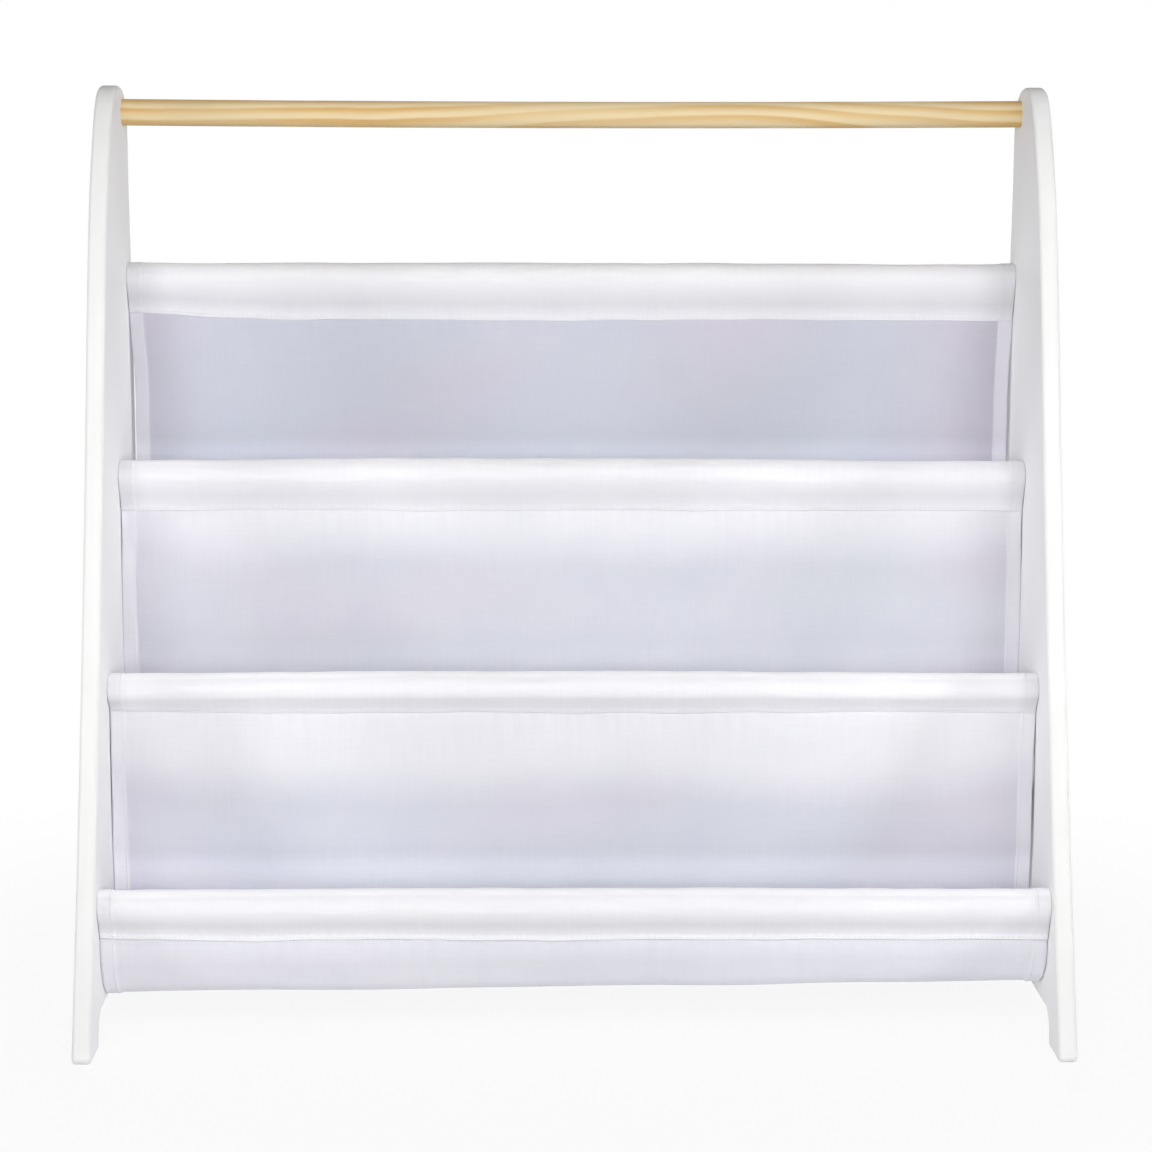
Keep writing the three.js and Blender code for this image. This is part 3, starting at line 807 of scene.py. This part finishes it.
def sleeve_strip(rod):
    """The cloth from the seam behind a rod, over the rod and down to the seam in front."""
    x = across * SLEEVE_HALF_WIDTH
    seam = seam_line(rod)
    thick = HEM_EXTRA_IN_SLEEVE * in_hem
    puff = SLEEVE_PUFFS[rod] * eased((1 - np.abs(across + 0.1)) / 0.8)
    lifted = SLEEVE_PUFF_LIFTS * puff
    radius = SLEEVE_RADIUS + thick + ripples(SLEEVE_SWELL, rod, x) + (puff - lifted)
    middle_y = rods[rod].y
    middle_z = rods[rod].z - SLEEVE_SAG + lifted
    pinch = SEAM_PINCH + thick
    drop = middle_z - seam
    start = np.arctan2(-drop, pinch) + np.arccos(radius / np.hypot(pinch, drop))
    touch_y, touch_z = radius * np.cos(start), middle_z + radius * np.sin(start)
    wall = np.array(SLEEVE_WALL_ROWS)[:, None] / 1000
    wall_length = np.hypot(touch_y - pinch, touch_z - seam)
    share = wall * np.minimum(1 / wall_length, 0.9 / wall[-1])
    rear_y = middle_y + pinch + (touch_y - pinch) * share
    rear_z = seam + (touch_z - seam) * share
    turn = np.linspace(0, 1, SLEEVE_TURN_ROWS)[:, None]
    angle = start + (math.pi - 2 * start) * turn
    creased = radius + ripples(SLEEVE_CREASE, rod, x, turn)
    over_y = middle_y + creased * np.cos(angle)
    over_z = middle_z + creased * np.sin(angle)
    front_y = middle_y - (rear_y - middle_y)
    y = np.concatenate([rear_y, over_y, front_y[::-1]])
    z = np.concatenate([rear_z, over_z, rear_z[::-1]])
    from_seam = share * wall_length
    above = np.concatenate([from_seam, np.ones_like(over_z), from_seam[::-1]])
    band_top = SEAM_BAND + ripples(SEAM_BAND_WAVER, rod, across)
    in_band = eased((band_top - above) / SEAM_BAND_FADE)
    from_dimple = (above - SEAM_DIMPLE_PLACE) / SEAM_DIMPLE_WIDTH
    dimple = SEAM_DIMPLE_DEPTH * np.exp(-from_dimple**2)
    narrowed = np.clip((middle_z - z) / drop, 0, 1)
    half = SLEEVE_HALF_WIDTH + (CLOTH_HALF_WIDTH - SLEEVE_HALF_WIDTH) * narrowed
    on_rod = eased((z - middle_z + 0.013) / 0.01)
    below = (1 - on_rod) * eased((above - 0.005) / 0.007)
    highlight_share = eased(((z - middle_z) / radius - 0.6) / 0.35)
    end_shade, end_shade_width = SLEEVE_ENDS_PAINTED_SHADE[rod]
    # Painted light and shade on the sleeve's colour: lighter across, on top and on the seam band,
    # darker under the rod and at the ends.
    lit = painted_light_across(*SLEEVE_PAINTED_LIGHT[rod]) * (
        1 + SEAM_BAND_PAINTED_LIGHT[rod] * in_band + SLEEVE_TOP_PAINTED_HIGHLIGHT[rod] * highlight_share
        - SLEEVE_BELOW_PAINTED_SHADE[rod] * below)
    lit = lit * (1 - end_shade * eased((end_shade_width - from_edge) / (end_shade_width - 0.002)))
    return Strip(
        across * half, y, z, SEAM_BAND_RAISE * in_band * (1 - dimple),
        np.maximum(on_rod, SLEEVE_LAYERS_BELOW), lit, HEM_EXTRA_IN_SLEEVE)


# Pockets: the cloth hangs from the seam of one rod, turns forward in a round fold, and climbs
# to the seam of the rod in front. Where two pockets share a rod, the sheets hang side by side.
POCKET_BELLIES = [0.005, 0.0025, 0.005]
POCKET_DROPS = [0.08, 0.088, 0.0606]
POCKET_TILTS = [-0.0012, 0.0009, 0.0033]
POCKET_BOWS = [0.002, 0.002, 0.0003]
POCKET_LIP = 0.003
SHEETS_PART_WITHIN = 0.012
SHEET_ROWS = [0, 0.6, 1.3, 2.2, 3.4, 5, 7, 10, 14, 19]
SHEET_STEP = 0.004
FOLD_ROWS = 40
FOLD_LIFT = (120, 0.0004, 0.16, 0.8)
HEM_CURL = (130, 0.0007, 1, 0.09)
HEM_CURL_WITHIN = 0.03
HEM_WAVER = (140, 0.00018, 1, 0.05)
POCKET_DRAWN_IN = [(0.0024, 0.0014), (-0.0004, -0.0004), (0.0, 0.001)]
POCKET_DRAWN_WITHIN = [0.045, 0.05, 0.05]
POCKET_FRONT_WIDER = 0.0003
# The layers mask whitens doubled cloth: partly its own density, partly painted light sent back by
# the layer behind.
DOUBLE_ENDS = [None, 0.26, 0.123]
DOUBLE_FADES = [None, 0.062, 0.048]
DOUBLE_SIDE_RISE = 0.008
DOUBLE_WAVER = (150, 0.002, 0.2, 0.3)
LAYERS_BEHIND = [0, 0.28, 0.2]
LAYERS_CLOSE = 0.8
HEM_LAYERS = [0.4, 0.6, 0.6]
# Painted shade on the hems beside the panels.
HEMS_PAINTED_SHADE = [(0.1, 0.0), (0.07, 0.06), (0.05, 0.0)]
# Painted light across each pocket, and on the last pocket's front sheet, with painted light in its
# fold.
POCKET_PAINTED_LIGHT = [(0.98, 1.05), (0.97, 1.065), (0.905, 1.005)]
POCKET_FRONT_PAINTED_LIGHT = (0.975, 1.035)
POCKET_FOLD_PAINTED_LIGHT = 0.3
POCKET_FOLD_HEIGHT = 0.026
# Painted light above each sleeve in front and lower down in the pockets, and painted shade beside
# the panels.
POCKET_OPEN_PAINTED_LIGHT = [0.2, 0.05, 0.2]
POCKET_LOW_PAINTED_LIGHT = [(0.06, 0.07), (0.03, 0.1), (0.17, 0.05)]
POCKET_EDGES_PAINTED_SHADE = [(0.19, 0.17), (0.14, 0.13), (0.1, 0.05)]
THREAD_PITCH = 0.00052
WEAVE_DEPTH = 0.00007
CLOTH_ROUGHNESS = (0.82, 0.95)
CLOTH_GLOSS = 0.2
CLOTH_SHEEN = 0.12


def rows_of_sheet(length):
    """Rows from a seam down to a fold as shares of that length, close together at the seam."""
    near = np.array(SHEET_ROWS) / 1000 / length
    near = near[near < 0.8]
    rest = np.linspace(near[-1], 1, max(2, round((1 - near[-1]) * length / SHEET_STEP)) + 1)[1:]
    return np.r_[near, rest][:, None]


def pocket_strip(pocket):
    """The cloth from the front seam of the rod behind to the rear seam of the rod in front."""
    rear, front = rods[pocket], rods[pocket + 1]
    x = across * CLOTH_HALF_WIDTH
    top, end = seam_line(pocket), seam_line(pocket + 1)
    rear_hangs = rear.y - (SHEET_SPACING if pocket > 0 else 0)
    front_hangs = front.y + (SHEET_SPACING if pocket < 2 else 0)
    askew = POCKET_TILTS[pocket] * across - POCKET_BOWS[pocket] * (1 - across**2)
    bottom = front.z - POCKET_DROPS[pocket] + askew
    belly = POCKET_BELLIES[pocket]
    fold_rear = rear_hangs + belly
    fold_half = (fold_rear - front_hangs) / 2
    fold_top = np.minimum(bottom + fold_half, end - POCKET_LIP)
    rear_z = top - (top - fold_top) * rows_of_sheet(np.mean(top - fold_top))
    front_z = end - (end - fold_top) * rows_of_sheet(np.mean(end - fold_top))[::-1]
    belly_start = top if pocket == 0 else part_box(f"sling_pocket_{pocket}")[0].z
    bellied = eased((belly_start - rear_z) / (belly_start - fold_top))
    seam_half = SEAM_PINCH + HEM_EXTRA_IN_SLEEVE * in_hem
    hem_room = HEM_EXTRA * in_hem
    parted = eased((top - rear_z) / SHEETS_PART_WITHIN)
    at_seam = rear.y - seam_half
    hanging = rear_hangs + belly * bellied - (hem_room if pocket > 0 else 0)
    rear_y = at_seam + (hanging - at_seam) * parted
    closing = eased((end - front_z) / SHEETS_PART_WITHIN)
    at_seam = front.y + seam_half
    hanging = front_hangs + (hem_room if pocket < 2 else 0)
    front_y = at_seam + (hanging - at_seam) * closing
    angle = np.linspace(0, math.pi, FOLD_ROWS + 1)[1:-1, None]
    blend_in = eased(1 - angle / 0.5) * (rear_y[-1] - fold_rear)
    blend_out = eased(1 - (math.pi - angle) / 0.5) * (front_y[0] - front_hangs)
    fold_y = front_hangs + fold_half + fold_half * np.cos(angle) + blend_in + blend_out
    lift = ripples(FOLD_LIFT, pocket, x, angle / math.pi) * np.sin(angle)
    fold_z = fold_top - (fold_top - bottom) * np.sin(angle) + lift
    y = np.concatenate([rear_y, fold_y, front_y])
    z = np.concatenate([rear_z, fold_z, front_z])
    turn = np.concatenate([np.zeros(len(rear_z)), angle[:, 0] / math.pi, np.ones(len(front_z))])
    turn = turn[:, None]
    below_rear = np.maximum(top - z, 0)
    below_front = np.maximum(end - z, 0)
    shift = (
        (1 - turn) * sheet_shift(pocket, x, below_rear)
        + turn * sheet_shift(pocket + 1, x, below_front))
    curl = ripples(HEM_CURL, pocket, 0, z) * eased(1 - from_edge / HEM_CURL_WITHIN)
    curl = curl * eased(below_rear / HEM_CURL_WITHIN) * eased(below_front / HEM_CURL_WITHIN)
    y = y + shift + curl
    drawn = np.where(across < 0, *POCKET_DRAWN_IN[pocket])
    drawn = drawn * eased(below_rear / POCKET_DRAWN_WITHIN[pocket]) * (1 - 0.9 * turn)
    frayed = ripples(HEM_WAVER, pocket, 0, z) * eased(below_rear / 0.02)
    half = CLOTH_HALF_WIDTH + POCKET_FRONT_WIDER * turn - drawn - np.abs(frayed) * (1 - turn)
    loose = np.concatenate([parted, np.ones_like(fold_z), closing])
    thick = HEM_EXTRA_IN_SLEEVE + (HEM_EXTRA - HEM_EXTRA_IN_SLEEVE) * loose
    # Painted light and shade on the pocket's colour, with painted light in the last pocket's fold
    # where the cloth turns under.
    lit = painted_light_across(*POCKET_PAINTED_LIGHT[pocket])
    lit = lit * pocket_painted_light(pocket, z - front.z - SLEEVE_RADIUS, turn)
    if pocket == 2:
        fold_light_share = eased(1 - (z - bottom) / POCKET_FOLD_HEIGHT)
        front_lit = painted_light_across(*POCKET_FRONT_PAINTED_LIGHT) + POCKET_FOLD_PAINTED_LIGHT * fold_light_share
        lit = lit + (front_lit - lit) * eased((turn - 0.3) / 0.2)
    return Strip(
        across * half, y, z, 0, pocket_layers_and_painted_light(pocket, x, z, turn), lit, thick)


def pocket_painted_light(pocket, above_sleeve, turn):
    """Painted light and shade on a pocket's colour: lighter just above the sleeve in front, where
    the pocket opens, and lower down, and painted shade beside the panels and on the hems."""
    open_below = eased((0.012 - above_sleeve) / 0.014) * eased((above_sleeve + 0.03) / 0.02)
    low_left, low_right = POCKET_LOW_PAINTED_LIGHT[pocket]
    low = low_left + (low_right - low_left) * eased((across + 1) / 2)
    painted_lift = low * eased((0.06 - above_sleeve) / 0.05) + POCKET_OPEN_PAINTED_LIGHT[pocket] * open_below
    shade = np.where(across < 0, *POCKET_EDGES_PAINTED_SHADE[pocket]) * eased((0.05 - from_edge) / 0.045)
    shade = shade * (1 - in_hem) + np.where(across < 0, *HEMS_PAINTED_SHADE[pocket]) * in_hem
    return 1 + painted_lift * (1 - turn) - shade


def pocket_layers_and_painted_light(pocket, x, z, turn):
    """1 where a second layer lies close behind, down to 0 where single; whiter colour, partly
    painted light.
    """
    double = np.full_like(z, LAYERS_BEHIND[pocket])
    if pocket > 0:
        nearer = DOUBLE_SIDE_RISE * eased((0.06 - from_edge) / 0.06)
        low = DOUBLE_ENDS[pocket] + ripples(DOUBLE_WAVER, pocket, x, z) + nearer
        double = np.maximum(double, LAYERS_CLOSE * eased((z - low) / DOUBLE_FADES[pocket]))
    if pocket == 2:
        double = np.maximum(double, 0.5 * eased((turn - 0.3) / 0.2))
    else:
        double = np.maximum(double, eased((turn - 0.7) / 0.3))
    return np.maximum(double, HEM_LAYERS[pocket] * in_hem)


def woven_cloth():
    """A plain weave from the run of the threads, with thick places in some of them."""
    group, given, result = new_effect(
        "woven_cloth", {"Threads": "Vector", "Pitch": "Float"},
        {"Height": "Float", "Slubs": "Float"})
    place = given["Threads"]
    turns = []
    for way in put(group, "SeparateXYZ", {0: place}).outputs[:2]:
        threads = sums(group, "DIVIDE", way, given["Pitch"])
        turns.append(sums(group, "SINE", sums(group, "MULTIPLY", threads, math.pi)))
    over = sums(group, "MULTIPLY_ADD", sums(group, "MULTIPLY", *turns), 1.5, 0.5)
    over = put(group, "Clamp", {0: over}).outputs[0]
    warp, weft = [sums(group, "ABSOLUTE", turn) for turn in turns]
    lengthwise = cloudy(group, place, 60.0, (14, 0.5, 1))
    crosswise = cloudy(group, place, 60.0, (0.5, 14, 1))
    fill(group, result, {
        "Height": sums(group, "MULTIPLY_ADD", over, sums(group, "SUBTRACT", warp, weft), weft),
        "Slubs": sums(group, "MULTIPLY", sums(group, "ADD", lengthwise, crosswise), 0.5),
    })
    return group


def white_canvas():
    """White cotton, bluish where single; whiter where layers lie together, partly as painted
    light.
    """
    finish, tree, shader = new_finish("white_cotton")
    threads = put(tree, "UVMap", {}, uv_map="threads").outputs[0]
    place = object_place(tree)
    cloth = put(
        tree, "Group", {"Threads": threads, "Pitch": THREAD_PITCH}, node_tree=weave).outputs
    off_middle = sums(tree, "ABSOLUTE", put(tree, "SeparateXYZ", {0: place}).outputs[0])
    to_sides = between(tree, off_middle, 0.2, 0.29, 0.0, 0.2)
    clouds = sums(tree, "SUBTRACT", cloudy(tree, place, 6.5, (1, 0.2, 1.6), 1.0), to_sides)
    single = mixed(tree, between(tree, clouds, 0.26, 0.5), CLOTH_LAVENDER, CLOTH_BLUE)
    patches = cloudy(tree, place, 22.0, (1, 0.2, 1.2), 2.0)
    uneven = between(tree, patches, 0.3, 0.7, -0.05, 0.05)
    # Whiter where doubled: partly real layers, partly painted light.
    share = sums(tree, "ADD", value_of(tree, "layers_and_painted_light"), uneven)
    colour = mixed(tree, put(tree, "Clamp", {0: share}).outputs[0], single, CLOTH_WHITE)
    slubs = between(tree, cloth["Slubs"], 0.35, 0.65, 0.98, 1.015)
    dips = between(tree, cloth["Height"], 0.0, 0.6, 0.96, 1.0)
    tone = sums(tree, "MULTIPLY", slubs, dips)
    # The colour is scaled by the painted light and shade kept at the corners.
    tone = sums(tree, "MULTIPLY", tone, value_of(tree, "lit_through"))
    grey = put(tree, "CombineColor", {0: tone, 1: tone, 2: tone}).outputs[0]
    height = sums(tree, "MULTIPLY_ADD", cloth["Slubs"], 0.8, cloth["Height"])
    fill(tree, shader, {
        "Base Color": mixed(tree, 1.0, colour, grey, "MULTIPLY"),
        "Roughness": between(tree, cloth["Slubs"], 0.3, 0.7, *CLOTH_ROUGHNESS),
        "Normal": relief(tree, height, WEAVE_DEPTH),
        "Specular IOR Level": CLOTH_GLOSS,
        "Sheen Weight": CLOTH_SHEEN,
        "Sheen Roughness": 0.5,
    })
    return finish


weave = woven_cloth()
canvas = white_canvas()
strips = {}
for number in range(4):
    strips[f"sleeve_{number + 1}"] = sleeve_strip(number)
    if number < 3:
        strips[f"pocket_{number + 1}"] = pocket_strip(number)
cloth_pieces = {}
cloth_lengths = {}
for name, strip in strips.items():
    run = sum(cloth_lengths.values())
    cloth_pieces[name] = cloth_piece(f"cloth_{name}", strip, f"sling_{name}", run)
    cloth_lengths[name] = float(strip.along[-1].mean())

# Stitching: white cotton thread, sewn in lockstitch. One row closes each sleeve below its rod,
# in a small dimple that it pulls into the cloth, and one holds the hem down each side.
STITCH_PITCH = 0.0034
STITCH_LENGTH = 0.0026
STITCH_RADIUS = 0.00021
STITCH_SIDES = 6
STITCH_SHAPE = np.array([
    (-0.5, 0.45, -0.9), (-0.28, 0.9, 0.1), (0, 1, 0.45), (0.28, 0.9, 0.1), (0.5, 0.45, -0.9)])
SEAM_STITCH_ROW = 3
HEM_STITCH_COLUMN = 7
FROM_HEM_TO_HEM = slice(3, -3)
FROM_SEAM_TO_SEAM = slice(2, -2)
STRAND_DEPTH = 0.00003
THREAD_WHITE = (0.88, 0.88, 0.9, 1)
THREAD_GREY = (0.7, 0.7, 0.74, 1)


def cotton_thread():
    """Twisted cotton thread, with the strands showing as fine slanting grooves."""
    finish, tree, shader = new_finish("cotton_thread")
    strands = put(
        tree, "TexWave", {"Vector": object_place(tree), "Scale": 900.0, "Distortion": 1.0},
        bands_direction="DIAGONAL").outputs[1]
    fill(tree, shader, {
        "Base Color": mixed(tree, between(tree, strands, 0.2, 0.9), THREAD_GREY, THREAD_WHITE),
        "Roughness": between(tree, strands, 0.0, 1.0, 0.75, 0.6),
        "Normal": relief(tree, strands, STRAND_DEPTH),
    })
    return finish


def stitch_row(strip, row, column, under=False):
    """Points and faces of the stitches along a row or a column of one face of the cloth. Each
    is sunk in at both ends."""
    ways = np.stack([np.zeros_like(strip.y), strip.out_y, strip.out_z], axis=-1)
    outwards = (-ways if under else ways)[row, column]
    line = strip.face(under)[row, column]
    marks = evenly_spaced(np.hstack([line, outwards]), STITCH_PITCH)
    spots, away = marks[:, :3], marks[:, 3:]
    forward = np.gradient(spots, axis=0)
    forward /= np.linalg.norm(forward, axis=1)[:, None]
    away = away / np.linalg.norm(away, axis=1)[:, None]
    aside = np.cross(forward, away)
    share, width, lift = STITCH_SHAPE.T[:, None, :, None]
    middles = spots[:, None] + forward[:, None] * STITCH_LENGTH * share
    middles = middles + away[:, None] * STITCH_RADIUS * lift
    turn = np.linspace(0, 2 * math.pi, STITCH_SIDES, endpoint=False)[:, None]
    spokes = aside[:, None] * np.cos(turn) + away[:, None] * np.sin(turn)
    points = middles[:, :, None] + spokes[:, None] * STITCH_RADIUS * width[..., None]
    number = np.arange(len(STITCH_SHAPE) * STITCH_SIDES).reshape(-1, STITCH_SIDES)
    first = np.arange(len(spots))[:, None, None] * number.size
    bands = (np.array(closed_bands(number.tolist())) + first).reshape(-1, 4)
    ends = (np.array([number[0, ::-1], number[-1]]) + first).reshape(-1, STITCH_SIDES)
    return points.reshape(-1, 3), bands.tolist() + ends.tolist()


def joined(rows):
    """Several rows of stitches as one."""
    faces = []
    first = 0
    for points, row_faces in rows:
        faces += [[n + first for n in face] for face in row_faces]
        first += len(points)
    return np.concatenate([points for points, _ in rows]), faces


white_thread = cotton_thread()
for number in range(1, 5):
    rows = [stitch_row(strips[f"sleeve_{number}"], row, FROM_HEM_TO_HEM)
            for row in (SEAM_STITCH_ROW, -1 - SEAM_STITCH_ROW)]
    add_piece(f"seam_stitches_{number}", *joined(rows), white_thread, "canvas")
for side_name, column in (("left", HEM_STITCH_COLUMN), ("right", -1 - HEM_STITCH_COLUMN)):
    for name, strip in strips.items():
        faces_seen = (False, True) if name.startswith("pocket") else (False,)
        rows = [stitch_row(strip, FROM_SEAM_TO_SEAM, column, under) for under in faces_seen]
        add_piece(f"hem_stitches_{name}_{side_name}", *joined(rows), white_thread, "canvas")

for name, piece in cloth_pieces.items():
    own = [f"hem_stitches_{name}_{side_name}" for side_name in ("left", "right")]
    number = int(name[-1])
    if name.startswith("sleeve"):
        own.append(f"seam_stitches_{number}")

# Room: a pale floor that keeps a soft shadow, white all round, and soft studio lamps. A wide
# lamp hangs high in front, one stands further off, one on each side lights the inner faces,
# and one behind lights the back. Grids on the last three keep their light on the shelf.
FLOOR_REACH = 40.0
FLOOR_DROP = 0.0005
FLOOR_GREY = (0.84, 0.84, 0.84, 1)
FLOOR_WHITE_FROM, FLOOR_WHITE_TO = 0.2, 0.8
FLOOR_WHITE_NEAR = 0.88
ROOM_LIGHT = 0.24
PURE_WHITE = (1, 1, 1, 1)
LAMPS = {
    "near_lamp": ((0.15, -1.4, 1.0), (0, 0, 0.3), (2.6, 0.6), 14.6, 180),
    "far_lamp": ((0.3, -3.2, 0.9), (0, 0, 0.3), (2.0, 0.8), 11.4, 180),
    "left_lamp": ((-3.0, -1.6, 0.5), (0, 0, 0.275), (1.0, 0.5), 0.73, 20),
    "right_lamp": ((3.0, -1.6, 0.5), (0, 0, 0.275), (1.0, 0.5), 0.78, 20),
    "back_lamp": ((0, 3.2, 0.5), (0, 0.1, 0.22), (1.6, 0.5), 1.8, 30),
}


def add_lamp(name, place, aim, size, power, spread):
    """A soft lamp with a flat front that faces a point, its light spread over an angle."""
    lamp = bpy.data.lights.new(name, "AREA")
    lamp.shape = "RECTANGLE"
    lamp.size, lamp.size_y = size
    lamp.energy = power
    lamp.spread = math.radians(spread)
    stand = add_object(name, lamp)
    stand.location = place
    stand.rotation_euler = (Vector(aim) - Vector(place)).to_track_quat("-Z", "Y").to_euler()
    stand.visible_camera = False


def seen_directly(tree):
    """1 for what the camera sees, also in a reflection or through glass, and 0 for light."""
    ray = put(tree, "LightPath", {}).outputs
    straight = sums(tree, "MAXIMUM", ray["Is Camera Ray"], ray["Is Glossy Ray"])
    return sums(tree, "MAXIMUM", straight, ray["Is Transmission Ray"])


floor_mesh = bpy.data.meshes.new("floor")
floor_corners = [
    (x * FLOOR_REACH, y * FLOOR_REACH, 0) for x, y in ((-1, -1), (1, -1), (1, 1), (-1, 1))]
floor_mesh.from_pydata(floor_corners, [], [(0, 1, 2, 3)])
floor = add_object("floor", floor_mesh)
floor.location.z = -FLOOR_DROP
pale_floor, floor_tree, floor_shader = new_finish("pale_floor")
fill(floor_tree, floor_shader, {"Base Color": FLOOR_GREY, "Roughness": 0.9})
far = put(floor_tree, "VectorMath", {0: object_place(floor_tree)}, operation="LENGTH")
whitened = between(
    floor_tree, far.outputs["Value"], FLOOR_WHITE_FROM, FLOOR_WHITE_TO, FLOOR_WHITE_NEAR, 1.0,
    smooth=True)
whitened = sums(floor_tree, "MULTIPLY", whitened, seen_directly(floor_tree))
glow = put(floor_tree, "Emission", {"Color": PURE_WHITE, "Strength": 1.0}).outputs[0]
blended = put(floor_tree, "MixShader", {0: whitened, 1: floor_shader.outputs[0], 2: glow})
fill(floor_tree, floor_tree.nodes["Material Output"], {"Surface": blended.outputs[0]})
floor_mesh.materials.append(pale_floor)

world = bpy.data.worlds.new("white_room")
world.use_nodes = True
bpy.context.scene.world = world
room = world.node_tree
level = between(room, seen_directly(room), 0.0, 1.0, ROOM_LIGHT, 1.0)
fill(room, room.nodes["Background"], {"Strength": level, "Color": PURE_WHITE})
for name, lamp_values in LAMPS.items():
    add_lamp(name, *lamp_values)

# Camera: a long lens a little above the shelf and to the left of its middle, turned and
# rolled by the small angles at which the photograph was taken.
CAMERA_PLACE = (-0.0286, -1.9289, 0.5663)
CAMERA_DOWN = 8.305
CAMERA_ROLL = -0.12
CAMERA_TURN = -0.879
CAMERA_LENS = 93.75
camera_data = bpy.data.cameras.new("camera")
camera_data.lens = CAMERA_LENS
camera_data.sensor_width = 36
camera = add_object("camera", camera_data)
camera.location = CAMERA_PLACE
camera.rotation_euler = [math.radians(a) for a in (90 - CAMERA_DOWN, CAMERA_ROLL, CAMERA_TURN)]
bpy.context.scene.camera = camera
bpy.context.scene.view_settings.view_transform = "Standard"
